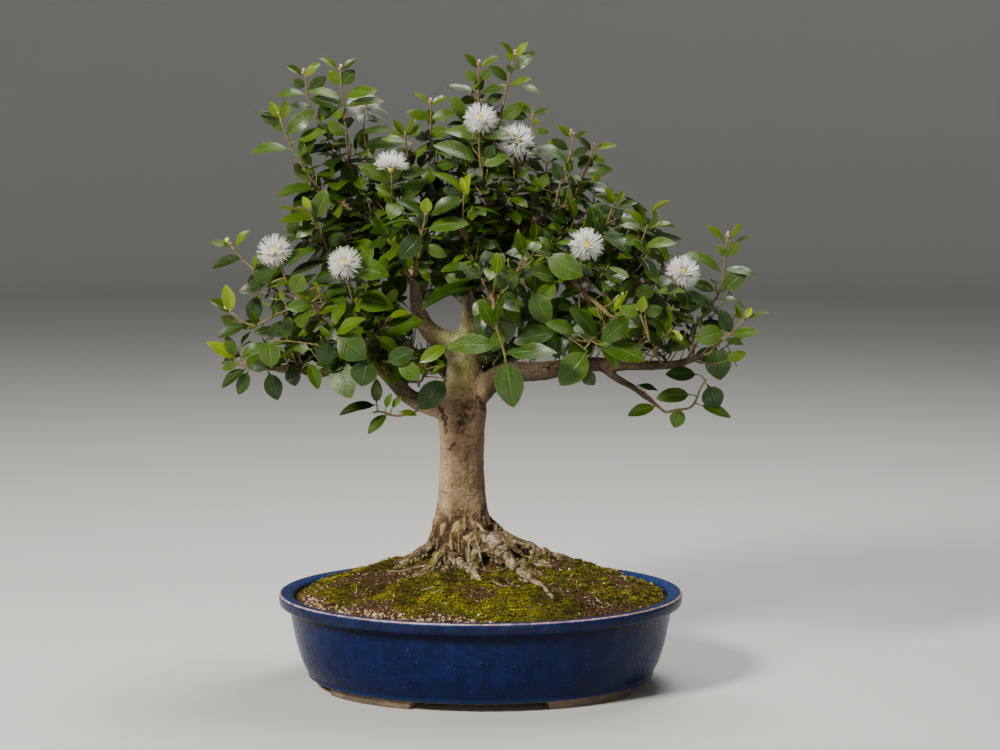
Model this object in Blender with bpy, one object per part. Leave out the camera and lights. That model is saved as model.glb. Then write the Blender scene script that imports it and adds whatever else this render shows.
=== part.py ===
"""Brush cherry bonsai in its glazed oval pot, with leaves, buds and brush-like blooms.

Metres, +Z up. The origin lies on the ground under the middle of the pot, and -Y is the front.
Lists of places are in millimetres: routes that limbs, roots and shoots follow through the crown.
"""

import math
import random

import bmesh
import bpy
from mathutils import Matrix, Vector, noise
from mathutils.bvhtree import BVHTree

MM = 0.001
GAP = 0.35  # clearance between pieces that touch on the real plant, in mm

# Pot
POT_SIDES = 36
RIM_HALF_WIDTH = 160.0
OVAL_DIFFERENCE = 26.5  # how much shorter the half depth is than the half width
FOOT_HEIGHT = 7.0
RIM_HEIGHT = 73.6
FLOOR_TOP = 15.0
# Half width and height of each ring of the wall: outer side from the base up, then down the inside.
POT_OUTSIDE = [
    (129.0, FOOT_HEIGHT),
    (136.5, 9.2),
    (142.5, 19.5),
    (148.5, 42.0),
    (151.5, 62.5),
    (159.0, 64.4),
    (RIM_HALF_WIDTH, 71.8),
    (158.4, RIM_HEIGHT),
]
POT_INSIDE = [(149.5, 72.6), (147.6, 70.0), (143.0, 36.0), (131.0, FLOOR_TOP)]
FOOT_ARCS = [(21.0, 65.0), (115.0, 159.0), (201.0, 245.0), (295.0, 339.0)]
FOOT_HALF_WIDTH = 124.5
FOOT_WALL = 19.0
DRAIN_X = 58.0
DRAIN_RADIUS = 12.0
SCREEN_RADIUS = 19.0
SCREEN_THICKNESS = 1.2

# Soil
SOIL_EDGE = 68.4
SOIL_RISE = 35.0

# Leaves, twigs and blooms
LEAF_THICKNESS = 1.5
BLOOM_RADIUS = 14.0
BLOOM_CORE = 4.6
PAIR_SPACING = 15.0
CROWN_MIDDLE = Vector((-5, 10, 290))
TWIG_RADIUS = 1.5  # to the corners of a square twig
RUN_LENGTH = 24.0  # of one straight run of a twig

# Each limb: the limb or trunk that it leaves, its route, and its radius at the start and the end.
TRUNK_ROUTE = [
    (-15, 0, 84), (-15, 0, 104), (-15, 0, 118), (-15, 0, 132), (-15, 0, 148), (-15, 0, 168),
    (-15, 0, 188), (-15, 0, 206), (-14, 0, 222), (-12, 0, 240), (-13, 0, 256), (-11, 0, 270),
    (-8, 0, 284),
]
TRUNK_RADII = [22, 27, 25, 21.5, 19, 18, 17.5, 18, 19.5, 17, 14.5, 11.5, 8.4]
LIMBS = {
    "left_leader": (
        [(-15, 0, 258), (-24, 1, 270), (-40, 5, 280), (-50, 10, 298), (-53, 15, 320), (-65, 20, 349),
         (-80, 22, 360), (-97, 20, 372), (-115, 15, 384)],
        10.0, 2.2,
    ),
    "left_leader_b": ([(-55, 17, 332), (-48, 25, 351), (-42, 30, 370), (-40, 23, 400)], 3.4, 2.0),
    "right_leader": (
        [(-12, 0, 258), (-7, 0, 279), (-8, 0, 298), (-2, 5, 316), (12, 12, 333), (31, 15, 355),
         (43, 14, 368), (55, 10, 374)],
        8.5, 2.6,
    ),
    "back_leader": (
        [(-8, 1, 302), (-20, 10, 312), (-33, 24, 325), (-41, 34, 342), (-32, 40, 370),
         (-16, 40, 394), (-4, 36, 422)],
        5.5, 2.2,
    ),
    "centre": ([(10, 11, 331), (16, 12, 345), (13, 9, 364), (7, 5, 379), (2, 1, 390)], 3.8, 2.2),
    "right_limb": (
        [(-14, 0, 219), (1, -5, 234), (19, -14, 248), (50, -20, 251), (81, -22, 256),
         (111, -22, 256), (144, -24, 256), (160, -25, 259), (174, -26, 264)],
        10.5, 2.2,
    ),
    "right_fork": (
        [(92, -22, 256), (108, -28, 245), (119, -32, 239), (131, -35, 230), (139, -36, 224)],
        3.6, 1.8,
    ),
    "left_limb": (
        [(-16, 0, 208), (-32, -3, 219), (-52, -10, 227), (-65, -13, 239), (-80, -18, 254),
         (-99, -22, 257), (-125, -26, 250), (-146, -29, 254), (-166, -31, 254)],
        8.5, 2.0,
    ),
    "left_mid": (
        [(-44, 6, 286), (-62, -16, 291), (-93, -30, 297), (-122, -38, 303), (-143, -40, 309)],
        3.8, 1.9,
    ),
    "front_left": ([(-51, 11, 302), (-51, -8, 318), (-49, -30, 334), (-46, -46, 345)], 3.4, 1.9),
    "front": (
        [(-7, -1, 296), (-5, -22, 312), (3, -54, 323), (9, -86, 315), (11, -106, 300)],
        3.8, 1.9,
    ),
    "front_right": (
        [(20, 14, 343), (40, -6, 342), (62, -32, 330), (82, -54, 313), (98, -70, 299)],
        3.8, 1.9,
    ),
    "right_mid": (
        [(34, 15, 358), (58, 12, 356), (86, 0, 343), (112, -9, 326), (138, -22, 306)],
        3.8, 1.9,
    ),
    "back_right": (
        [(12, 11, 333), (36, 39, 342), (62, 65, 342), (88, 86, 334), (108, 99, 326)],
        4.0, 1.9,
    ),
    "back_middle": (
        [(-33, 22, 325), (-22, 50, 338), (-6, 78, 345), (8, 100, 345)],
        4.0, 1.9,
    ),
    "back_left": (
        [(-53, 14, 320), (-72, 43, 331), (-96, 69, 335), (-118, 89, 336)],
        4.0, 1.9,
    ),
    "low_back_right": (
        [(-14, 0, 228), (8, 24, 247), (42, 58, 262), (74, 82, 269), (100, 95, 274)],
        7.0, 1.9,
    ),
    "low_back_left": (
        [(-14, 0, 232), (-34, 28, 250), (-64, 61, 263), (-88, 86, 268)],
        6.0, 1.9,
    ),
}

# Roots that spread over the mound: where each ends as seen from above, its radius at the start
# and the end, and how far it bends sideways.
ROOTS = [
    (86, 9, 10.5, 3.0, 5), (72, -24, 9.0, 2.6, -4), (56, -62, 12.0, 3.0, 6), (28, -56, 8.5, 2.6, -4),
    (2, -66, 12.0, 3.0, -6), (-24, -60, 9.0, 2.6, 5), (-50, -50, 10.5, 2.8, -5),
    (-70, -18, 11.0, 3.0, 4), (-66, 22, 9.0, 2.6, -4), (-38, 58, 9.5, 2.6, 5),
    (8, 62, 9.5, 2.6, -5), (52, 46, 9.5, 2.6, 5),
]

# Leafy shoots: what carries each one, what ends it, how many leaf pairs it has, and its route.
# "tip" is a pair of young leaves, "bud" adds flower buds, and "bloom" carries an open bloom.
SHOOTS = {
    "upper_left_outer": ("left_leader", "bud", 4,
        [(-130, 7, 396), (-140, 4, 411), (-146, 1, 422), (-151, -2, 433), (-156, -5, 449)]),
    "upper_left_low": ("left_leader", "tip", 4,
        [(-120, 19, 345), (-123, 10, 351), (-129, -1, 366), (-136, -15, 383)]),
    "upper_left_mid": ("left_leader", "bud", 4,
        [(-111, 15, 421), (-119, 13, 434), (-127, 10, 442), (-134, 9, 460), (-138, 5, 486)]),
    "upper_left_inner": ("left_leader", "bud", 4,
        [(-99, 15, 396), (-104, 10, 420), (-106, 4, 448), (-108, -3, 472), (-108, -8, 489)]),
    "upper_left_flowering": ("left_leader", "bloom", 2,
        [(-88, 26, 392), (-90, 26, 416), (-92, 22, 438), (-92, 16, 456)]),
    "centre_left_flowering": ("left_leader_b", "bloom", 2,
        [(-60, 8, 366), (-68, -10, 378), (-68, -26, 396), (-68, -38, 410)]),
    "top_left": ("left_leader_b", "bud", 3, [(-40, 20, 421), (-39, 16, 444), (-39, 12, 461)]),
    "centre_left": ("left_leader_b", "tip", 3, [(-52, 20, 400), (-58, 10, 424), (-59, 2, 446)]),
    "top_centre": ("back_leader", "bud", 3, [(-2, 35, 441), (-2, 32, 461), (-1, 25, 491)]),
    "top": ("centre", "bud", 5, [(9, 6, 420), (16, 12, 450), (21, 14, 472), (28, 15, 503)]),
    "top_flowering": ("centre", "bloom", 2, [(2, -8, 398), (-1, -12, 424), (0, -14, 446)]),
    "top_right_flowering": ("right_leader", "bloom", 2,
        [(28, 8, 380), (26, 2, 398), (26, -5, 420), (29, -10, 430)]),
    "top_right": ("centre", "tip", 3, [(30, 13, 404), (38, 15, 428), (42, 15, 456)]),
    "right_upper": ("right_leader", "bud", 3,
        [(60, 8, 386), (68, 5, 412), (72, 2, 426), (71, 0, 437)]),
    "right_upper_outer": ("right_leader", "bud", 3,
        [(72, 17, 384), (79, 16, 398), (86, 13, 414), (89, 10, 428)]),
    "right_shoulder": ("right_mid", "tip", 4, [(92, -2, 350), (99, -7, 366), (105, -10, 386)]),
    "right_shoulder_low": ("right_mid", "tip", 4,
        [(115, -11, 332), (124, -16, 348), (130, -20, 366)]),
    "right_middle_flowering": ("front_right", "bloom", 2,
        [(77, -42, 318), (77, -50, 334), (81, -60, 351)]),
    "right_flowering": ("right_mid", "bloom", 2,
        [(144, -25, 306), (151, -32, 316), (156, -39, 329)]),
    "right_tip": ("right_limb", "tip", 4,
        [(181, -27, 270), (192, -28, 279), (202, -29, 289), (207, -30, 296)]),
    "right_high": ("right_limb", "bud", 5,
        [(166, -20, 284), (178, -20, 300), (187, -20, 316), (190, -20, 339), (192, -20, 358)]),
    "right_fork_tip": ("right_fork", "tip", 3,
        [(150, -36, 222), (164, -36, 225), (171, -36, 240), (179, -36, 252)]),
    "left_high": ("left_mid", "tip", 4,
        [(-158, -34, 315), (-172, -28, 328), (-187, -24, 341), (-195, -24, 352)]),
    "left_flowering": ("left_mid", "bloom", 2,
        [(-146, -42, 316), (-151, -46, 330), (-157, -50, 346)]),
    "left_inner_flowering": ("left_mid", "bloom", 2,
        [(-98, -42, 304), (-100, -50, 318), (-103, -55, 337)]),
    "left_yellow": ("left_mid", "bud", 3,
        [(-158, -40, 296), (-176, -34, 288), (-192, -30, 297), (-205, -30, 310)]),
    "left_low": ("left_limb", "tip", 3, [(-178, -33, 255), (-190, -33, 259), (-204, -34, 273)]),
    "left_under": ("left_limb", "tip", 3, [(-142, -34, 248), (-155, -44, 242), (-166, -54, 233)]),
    "left_lime": ("left_mid", "tip", 4, [(-118, -44, 308), (-125, -54, 320), (-128, -64, 334)]),
    "left_centre": ("left_limb", "tip", 4, [(-108, -34, 262), (-120, -52, 272), (-137, -70, 282)]),
    "left_inner": ("left_mid", "tip", 4, [(-76, -36, 288), (-83, -66, 281), (-92, -104, 274)]),
    "centre_lime": ("front_left", "tip", 4, [(-45, -56, 356), (-42, -63, 370), (-41, -70, 383)]),
    "centre_front": ("front", "tip", 4, [(-8, -42, 346), (-13, -46, 370), (-11, -50, 402)]),
    "pendant": ("front", "tip", 4, [(15, -114, 286), (19, -117, 272), (20, -120, 258)]),
    "pendant_right": ("front_right", "tip", 4, [(90, -82, 287), (81, -94, 278), (70, -106, 267)]),
    "trunk_left": ("left_limb", "tip", 3,
        [(-50, -16, 219), (-66, -22, 216), (-80, -27, 220), (-93, -30, 214)]),
    "right_mid_long": ("front", "tip", 5, [(22, -68, 322), (32, -74, 342), (29, -80, 364)]),
    "right_mid_tip": ("front_right", "tip", 4,
        [(100, -58, 304), (103, -66, 318), (104, -74, 334)]),
    "right_low": ("right_limb", "tip", 3, [(134, -36, 268), (140, -50, 278), (146, -62, 288)]),
    "right_inner": ("right_limb", "tip", 4, [(54, -36, 258), (52, -72, 254), (52, -112, 256)]),
    "right_under": ("right_limb", "tip", 2, [(112, -38, 268), (121, -66, 276), (127, -98, 282)]),
    "front_left_low": ("left_limb", "tip", 4, [(-46, -28, 244), (-44, -64, 258), (-50, -112, 264)]),
    "back_top": ("back_leader", "tip", 3, [(-14, 54, 404), (-14, 67, 424), (-12, 74, 446)]),
    "back_top_right": ("back_right", "tip", 3, [(50, 61, 372), (52, 73, 394), (54, 78, 418)]),
    "back_top_left": ("back_left", "tip", 3, [(-74, 58, 364), (-80, 65, 390), (-88, 69, 416)]),
    "back_right_tip": ("back_right", "tip", 3,
        [(120, 104, 330), (134, 110, 342), (144, 113, 358)]),
    "back_right_high": ("back_right", "tip", 4, [(90, 97, 352), (92, 106, 374), (94, 110, 392)]),
    "back_right_low": ("low_back_right", "tip", 3,
        [(118, 100, 276), (134, 104, 282), (148, 104, 294)]),
    "back_middle_tip": ("back_middle", "tip", 3, [(14, 112, 350), (18, 121, 366), (18, 126, 386)]),
    "back_middle_low": ("low_back_right", "tip", 3,
        [(46, 89, 278), (40, 106, 286), (34, 123, 298)]),
    "back_middle_left": ("back_middle", "tip", 3,
        [(-24, 93, 352), (-32, 108, 366), (-36, 115, 384)]),
    "back_left_tip": ("back_left", "tip", 3,
        [(-132, 97, 340), (-146, 100, 352), (-152, 102, 370)]),
    "back_left_low": ("low_back_left", "tip", 3,
        [(-104, 95, 270), (-122, 100, 276), (-138, 100, 290)]),
    "back_left_under": ("low_back_left", "tip", 3,
        [(-66, 86, 276), (-58, 104, 284), (-50, 121, 298)]),
    "side_right": ("right_limb", "tip", 3, [(136, 4, 270), (152, 26, 284), (166, 44, 300)]),
    "side_left": ("left_limb", "tip", 4, [(-132, -4, 262), (-148, 22, 276), (-160, 44, 292)]),
    "side_right_high": ("right_mid", "tip", 3, [(118, 14, 336), (130, 34, 352), (136, 52, 372)]),
    "side_left_high": ("left_leader", "tip", 3,
        [(-98, 38, 352), (-118, 52, 352), (-136, 62, 366)]),
}
# Limbs that are one leafy branch with the shoots they carry. The other limbs belong to the trunk.
LEAFY_BRANCHES = [
    "front_left", "front", "front_right", "right_mid", "back_right", "back_middle", "back_left",
    "low_back_right", "low_back_left",
]


def smooth_route(points, step=2.0):
    """Points every few millimetres along one smooth curve through the given ones."""
    knots = [Vector(p) for p in points]
    knots = [knots[0] * 2 - knots[1]] + knots + [knots[-1] * 2 - knots[-2]]
    route = []
    for a, b, c, d in zip(knots, knots[1:], knots[2:], knots[3:]):
        count = max(2, int((c - b).length / step))
        for i in range(count):
            t = i / count
            route.append(
                0.5 * (2 * b + (c - a) * t + (2 * a - 5 * b + 4 * c - d) * t * t
                       + (3 * b - 3 * c + d - a) * t * t * t)
            )
    return route + [knots[-2]]


class Route:
    """A smooth curve that can be read at any distance along it."""

    def __init__(self, points):
        self.points = smooth_route(points)
        self.marks = [0.0]
        for a, b in zip(self.points, self.points[1:]):
            self.marks.append(self.marks[-1] + (b - a).length)
        self.length = self.marks[-1]

    def at(self, distance):
        distance = min(max(distance, 0.0), self.length)
        i = 0
        while i < len(self.marks) - 2 and self.marks[i + 1] < distance:
            i += 1
        span = self.marks[i + 1] - self.marks[i]
        t = (distance - self.marks[i]) / span
        return self.points[i].lerp(self.points[i + 1], t)

    def heading(self, distance):
        return (self.at(distance + 1.5) - self.at(distance - 1.5)).normalized()

    def between(self, start, end, spacing):
        count = max(1, round((end - start) / spacing))
        return [self.at(start + (end - start) * i / count) for i in range(count + 1)]


def tube_shell(points, radii, sides=6):
    """Corners and faces of a plain tube, for finding what crosses what."""
    corners = []
    faces = []
    side = (points[1] - points[0]).orthogonal().normalized()
    for i, (point, radius) in enumerate(zip(points, radii)):
        ahead = (points[min(i + 1, len(points) - 1)] - points[max(i - 1, 0)]).normalized()
        side = (side - ahead * side.dot(ahead)).normalized()
        other = ahead.cross(side)
        for k in range(sides):
            turn = math.tau * k / sides
            corners.append(point + radius * (math.cos(turn) * side + math.sin(turn) * other))
    for i in range(len(points) - 1):
        for k in range(sides):
            a = i * sides + k
            b = i * sides + (k + 1) % sides
            faces.append((a, b, b + sides, a + sides))
    return corners, faces


def leaf_corners(leaf, grow=0.0, start=0.0):
    """Corners of one leaf: three at the neck, at the widest part and near the end, then its point."""
    sections = [
        (start, 0.25 + grow + start * 1.1 * leaf["width"], 0.5, 0.0),
        (0.42, 0.5 * leaf["width"] + grow, LEAF_THICKNESS, 0.015),
        (0.74, 0.35 * leaf["width"] + grow, LEAF_THICKNESS * 0.8, -0.02),
    ]
    corners = []
    for along, half_width, keel, lift in sections:
        middle = leaf["foot"] + leaf["ahead"] * along * leaf["length"]
        middle = middle + leaf["up"] * (lift * leaf["length"])
        corners.append(middle - leaf["side"] * half_width + leaf["up"] * grow)
        corners.append(middle + leaf["side"] * half_width + leaf["up"] * grow)
        corners.append(middle - leaf["up"] * (keel + grow))
    point = leaf["foot"] + leaf["ahead"] * (leaf["length"] + grow)
    corners.append(point - leaf["up"] * (0.09 * leaf["length"]))
    return corners


LEAF_FACES = [(0, 1, 2)]
for ring in (0, 3):
    LEAF_FACES += [(ring, ring + 3, ring + 4), (ring, ring + 4, ring + 1)]
    LEAF_FACES += [(ring, ring + 2, ring + 5), (ring, ring + 5, ring + 3)]
    LEAF_FACES += [(ring + 1, ring + 5, ring + 2), (ring + 1, ring + 4, ring + 5)]
LEAF_FACES += [(6, 9, 7), (6, 8, 9), (7, 9, 8)]
YOUNG = 0.4  # younger leaves are shaped like a lance


def nearest_on(route, place):
    """How far along the route to leave it for the place, so that the shoot points forward."""
    return min(route.marks, key=lambda mark: (route.at(mark) - place).length - 0.35 * mark)


def taper(first, last, distance, length):
    return first + (last - first) * min(distance / length, 1.0)


class Stem:
    """A limb or a shoot: its route, its radius along it, and the piece that it belongs to."""

    def __init__(self, name, piece, points, first, last):
        self.name = name
        self.piece = piece
        self.route = Route(points)
        self.first = first
        self.last = last
        self.start = 0.0
        self.end = self.route.length
        self.taken = False
        self.at_end = False
        self.twist = 0.0
        self.own_piece = False
        self.ending = None
        self.pairs = 0
        self.bloom = None
        self.joints = []

    def radius(self, distance):
        return taper(self.first, self.last, distance, self.route.length)

    def spine(self):
        """The ends of the straight runs that the tube is made of."""
        if not self.joints:
            if self.at_end:
                self.joints = [self.start] + self.shares(self.start + 3.0, self.end)
            else:
                self.joints = self.shares(self.start, self.end)
        return [self.route.at(mark) for mark in self.joints]

    def shares(self, start, end):
        count = max(1, round((end - start) / RUN_LENGTH))
        return [start + (end - start) * i / count for i in range(count + 1)]

    def spine_marks(self):
        self.spine()
        return self.joints

    def frames(self):
        """For each straight run, its direction and two directions square to it, never twisting."""
        points = self.spine()
        runs = [(b - a).normalized() for a, b in zip(points, points[1:])]
        side = runs[0].orthogonal().normalized()
        side = Matrix.Rotation(self.twist, 3, runs[0]) @ side
        found = [(runs[0], side, runs[0].cross(side))]
        for before, run in zip(runs, runs[1:]):
            side = before.rotation_difference(run) @ side
            side = (side - run * side.dot(run)).normalized()
            found.append((run, side, run.cross(side)))
        return found

    def frame_at(self, distance):
        frames = self.frames()
        i = sum(1 for mark in self.spine_marks()[1:-1] if mark < distance)
        return frames[i]

    def on_spine(self, distance):
        """The middle of the tube at this distance, which a bend keeps a little off the route."""
        marks = self.spine_marks()
        points = self.spine()
        i = 0
        while i < len(marks) - 2 and marks[i + 1] < distance:
            i += 1
        share = (distance - marks[i]) / (marks[i + 1] - marks[i])
        return points[i].lerp(points[i + 1], min(max(share, 0.0), 1.0))


def clear_start(route, radius, wood):
    """How far along the route a shoot this thick is out of the wood that it grows from."""
    distance = 0.0
    while distance < route.length - 12.0:
        place = route.at(distance)
        if all((place - point).length > thick + radius + 1.0 for point, thick in wood):
            break
        distance += 0.5
    return distance


def lay_out_stems():
    """Every limb and shoot, in the order in which they grow."""
    stems = {"trunk": Stem("trunk", "trunk", TRUNK_ROUTE, 20.0, 17.0)}
    for name, (points, first, last) in LIMBS.items():
        piece = "branch_" + name if name in LEAFY_BRANCHES else "trunk"
        stems[name] = Stem(name, piece, points, first, last)
    wood = [
        (stem.on_spine(mark), stem.radius(mark))
        for stem in stems.values() if stem.piece == "trunk"
        for mark in stem.route.marks
    ]
    for stem in stems.values():
        if stem.piece != "trunk":
            stem.start = clear_start(stem.route, stem.first, wood)
    for name, (carrier, ending, pairs, points) in SHOOTS.items():
        limb = stems[carrier]
        mark = max(nearest_on(limb.route, Vector(points[0])), limb.start + 6.0)
        at_end = limb.route.length - mark < 8.0 and not limb.taken
        limb.taken = limb.taken or at_end
        mark = limb.route.length if at_end else min(mark, limb.route.length - 9.0)
        way = [limb.route.at(mark)]
        if at_end:
            way.append(way[0] + limb.route.heading(mark - 2.0) * 6.0)
        else:
            way.append(way[0] + (Vector(points[0]) - way[0]).normalized() * 10.0)
            if (Vector(points[0]) - way[0]).length < 14.0:
                way.pop()
        own_piece = limb.piece == "trunk"
        piece = "spray_" + name if own_piece else limb.piece
        stem = Stem(name, piece, way + [Vector(p) for p in points], TWIG_RADIUS, TWIG_RADIUS)
        stem.twist = math.radians(90.0) * random.Random("twist " + name).random()
        stem.own_piece = own_piece
        stem.at_end = at_end
        stem.ending = ending
        stem.pairs = pairs
        if own_piece:
            stem.start = GAP * 2 if at_end else clear_start(stem.route, TWIG_RADIUS, wood)
        if ending == "bloom":
            stem.bloom = stem.route.at(stem.route.length)
            stem.end = stem.route.length - BLOOM_CORE - GAP
        stems[name] = stem
    return stems


def leaf_at(stem, distance, age, level, side, habit, change):
    """A leaf of a pair. Young leaves point forward, and old ones spread and droop."""
    own_spread, own_roll, own_size = habit
    spread, roll, size = change
    heading, *square = stem.frame_at(distance)
    across = square[level] * side
    angle = math.radians(34 + 38 * age + spread + own_spread)
    ahead = heading * math.cos(angle) + across * math.sin(angle)
    ahead = (ahead + Vector((0, 0, -0.32 * age))).normalized()
    if ahead.dot(across) < 0.45:
        ahead = (ahead + across * (0.55 - ahead.dot(across))).normalized()
    place = stem.on_spine(distance)
    outward = (place - CROWN_MIDDLE).normalized()
    up = heading * 0.4 + Vector((0, 0, 0.55)) + outward * (0.35 + 0.5 * age)
    up = (up - ahead * up.dot(ahead)).normalized()
    up = Matrix.Rotation(math.radians(roll + own_roll), 3, ahead) @ up
    length = (17 + 17 * age) * own_size * size
    surface = TWIG_RADIUS * math.sqrt(0.5) / ahead.dot(across)
    return {
        "foot": place + ahead * (surface - 1.0), "ahead": ahead, "up": up,
        "side": ahead.cross(up), "length": length, "width": length * (0.42 + 0.14 * age),
        "age": age, "stem": stem.name, "piece": stem.piece,
    }


# What a leaf with no room tries in turn: more spread and roll, in degrees, and another size.
CHANGES = [
    (0, 0, 1.0), (12, 0, 1.0), (-12, 0, 1.0), (0, 28, 1.0), (0, -28, 1.0), (18, 30, 0.9),
    (-18, -30, 0.9), (26, 0, 0.8), (-24, 20, 0.75), (0, 70, 0.75),
]


def crosses(corners, faces, tree):
    return tree is not None and bool(BVHTree.FromPolygons(corners, faces).overlap(tree))


def tree_of(shells):
    corners = []
    faces = []
    for more, sides in shells:
        faces += [tuple(i + len(corners) for i in face) for face in sides]
        corners += more
    return BVHTree.FromPolygons(corners, faces) if faces else None


def ball_shell(centre, radius):
    ball = bmesh.new()
    bmesh.ops.create_icosphere(ball, subdivisions=2, radius=radius)
    ball.verts.index_update()
    corners = [vert.co + centre for vert in ball.verts]
    faces = [tuple(vert.index for vert in face.verts) for face in ball.faces]
    ball.free()
    return corners, faces


def lay_out_leaves(stems):
    """Leaves in pairs, each pair a quarter turn from the last.

    A leaf that would cross another piece is bent clear, and one with no room isn't grown.
    """
    shells = {}
    for stem in stems.values():
        radii = [stem.radius(mark) + GAP for mark in stem.spine_marks()]
        shells.setdefault(stem.piece, []).append((stem.name, tube_shell(stem.spine(), radii)))
        if stem.bloom:
            shells["bloom_" + stem.name] = [("bloom", ball_shell(stem.bloom, BLOOM_RADIUS + 0.6))]
    leaves = []
    for stem in stems.values():
        draw = random.Random(stem.name)
        others = tree_of([
            shell for piece, group in shells.items() if piece != stem.piece for _, shell in group
        ])
        last = stem.end - (11.0 if stem.bloom else 1.5)
        leafy = min(PAIR_SPACING * (stem.pairs - 1), last - stem.start - 7.0)
        youngest = 0.5 if stem.bloom else 0.12
        for k in range(stem.pairs):
            distance = last - leafy * k / max(stem.pairs - 1, 1)
            age = min(1.0, youngest + (last - distance) / 34.0)
            for side in (-1, 1):
                habit = (draw.uniform(-7, 7), draw.uniform(-16, 16), draw.uniform(0.9, 1.15))
                mine = tree_of([shell for label, shell in shells[stem.piece] if label != stem.name])
                for change in CHANGES:
                    leaf = leaf_at(stem, distance, age, k % 2, side, habit, change)
                    if crosses(leaf_corners(leaf, 0.3), LEAF_FACES, others):
                        continue
                    if crosses(leaf_corners(leaf, 0.1, 0.15), LEAF_FACES, mine):
                        continue
                    leaves.append(leaf)
                    shell = (leaf_corners(leaf, 0.15, 0.12), LEAF_FACES)
                    shells[stem.piece].append(("leaf", shell))
                    break
    return leaves


def material(name, colour, roughness, metallic=0.0):
    made = bpy.data.materials.new(name)
    made.use_nodes = True
    shader = made.node_tree.nodes["Principled BSDF"]
    shader.inputs["Base Color"].default_value = (*colour, 1.0)
    shader.inputs["Roughness"].default_value = roughness
    shader.inputs["Metallic"].default_value = metallic
    made.diffuse_color = (*colour, 1.0)
    return made


def object_from(name, shape):
    """An object from a bmesh in millimetres."""
    bmesh.ops.recalc_face_normals(shape, faces=shape.faces)
    bmesh.ops.scale(shape, vec=(MM, MM, MM), verts=shape.verts)
    mesh = bpy.data.meshes.new(name)
    shape.to_mesh(mesh)
    shape.free()
    made = bpy.data.objects.new(name, mesh)
    bpy.context.scene.collection.objects.link(made)
    return made


def sweep(sections, end=None):
    """A closed shape through sections with equal numbers of corners, and to a point if one is given."""
    shape = bmesh.new()
    face = shape.faces.new([shape.verts.new(corner) for corner in sections[0]])
    for section in sections[1:]:
        face = bmesh.ops.extrude_discrete_faces(shape, faces=[face])["faces"][0]
        for vert, corner in zip(face.verts, section):
            vert.co = corner
    if end is not None:
        bmesh.ops.poke(shape, faces=[face])["verts"][0].co = end
    rim = [edge for edge in shape.edges if edge.is_boundary]
    if rim:
        bmesh.ops.holes_fill(shape, edges=rim, sides=0)
    return shape


def tube(name, points, radii, resolution):
    """A closed round tube with 4, 6, 8 or more sides, from a bevelled curve."""
    curve = bpy.data.curves.new(name, "CURVE")
    curve.dimensions = "3D"
    curve.bevel_depth = MM
    curve.bevel_resolution = resolution
    curve.use_fill_caps = True
    spline = curve.splines.new("POLY")
    spline.points.add(len(points) - 1)
    for knot, point, radius in zip(spline.points, points, radii):
        knot.co = (*(point * MM), 1.0)
        knot.radius = radius
    guide = bpy.data.objects.new(name, curve)
    bpy.context.scene.collection.objects.link(guide)
    bpy.context.view_layer.update()
    graph = bpy.context.evaluated_depsgraph_get()
    shape = bmesh.new()
    shape.from_mesh(bpy.data.meshes.new_from_object(guide.evaluated_get(graph)))
    bpy.data.objects.remove(guide)
    bmesh.ops.remove_doubles(shape, verts=shape.verts, dist=1e-6)
    bmesh.ops.scale(shape, vec=(1 / MM, 1 / MM, 1 / MM), verts=shape.verts)
    return object_from(name, shape)


def combine(base, others, operation, solver="EXACT"):
    """One Boolean of the base with every other object, applied. The others are removed."""
    if not others:
        return base
    group = bpy.data.collections.new(base.name + "_group")
    bpy.context.scene.collection.children.link(group)
    for other in others:
        group.objects.link(other)
        bpy.context.scene.collection.objects.unlink(other)
    change = base.modifiers.new("Combine", "BOOLEAN")
    change.operation = operation
    change.operand_type = "COLLECTION"
    change.collection = group
    change.solver = solver
    bpy.context.view_layer.update()
    graph = bpy.context.evaluated_depsgraph_get()
    mesh = bpy.data.meshes.new_from_object(base.evaluated_get(graph))
    base.modifiers.clear()
    base.data = mesh
    mesh.name = base.name
    for other in others:
        bpy.data.objects.remove(other)
    bpy.data.collections.remove(group)
    return base


def finish(made, colour, origin=(0, 0, 0), smooth=40.0):
    """Gives an object its material, its shading and an origin of its own."""
    made.data.materials.clear()
    made.data.materials.append(colour)
    made.data.transform(Matrix.Translation(-Vector(origin) * MM))
    made.location = Vector(origin) * MM
    made.data.shade_smooth()
    made.data.set_sharp_from_angle(angle=math.radians(smooth))
    made.parent = whole
    return made


def oval(half_width, height, shrink=0.0):
    """A level ring of the pot, or one a little inside it."""
    points = []
    for k in range(POT_SIDES):
        turn = math.tau * k / POT_SIDES
        x = (half_width - shrink) * math.cos(turn)
        y = (half_width - OVAL_DIFFERENCE - shrink) * math.sin(turn)
        points.append(Vector((x, y, height)))
    return points


def foot(start, end):
    """One low foot, a block that follows the oval and narrows to the ground."""
    sections = []
    top = FOOT_HEIGHT + 2
    for k in range(5):
        turn = math.radians(start + (end - start) * k / 4)
        inset = math.radians(1.6) * (1 - k / 2)
        section = []
        for wall, height in ((0, top), (FOOT_WALL, top), (FOOT_WALL - 2, 0), (2, 0)):
            angle = turn + (inset if height == 0 else 0.0)
            half_width = FOOT_HALF_WIDTH - wall
            x = half_width * math.cos(angle)
            y = (half_width - OVAL_DIFFERENCE) * math.sin(angle)
            section.append(Vector((x, y, height)))
        sections.append(section)
    return object_from("foot", sweep(sections))


def disc(name, x, radius, low, high, sides):
    shape = bmesh.new()
    bmesh.ops.create_cone(
        shape, cap_ends=True, segments=sides, radius1=radius, radius2=radius, depth=high - low
    )
    bmesh.ops.translate(shape, vec=(x, 0, (low + high) / 2), verts=shape.verts)
    return object_from(name, shape)


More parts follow.
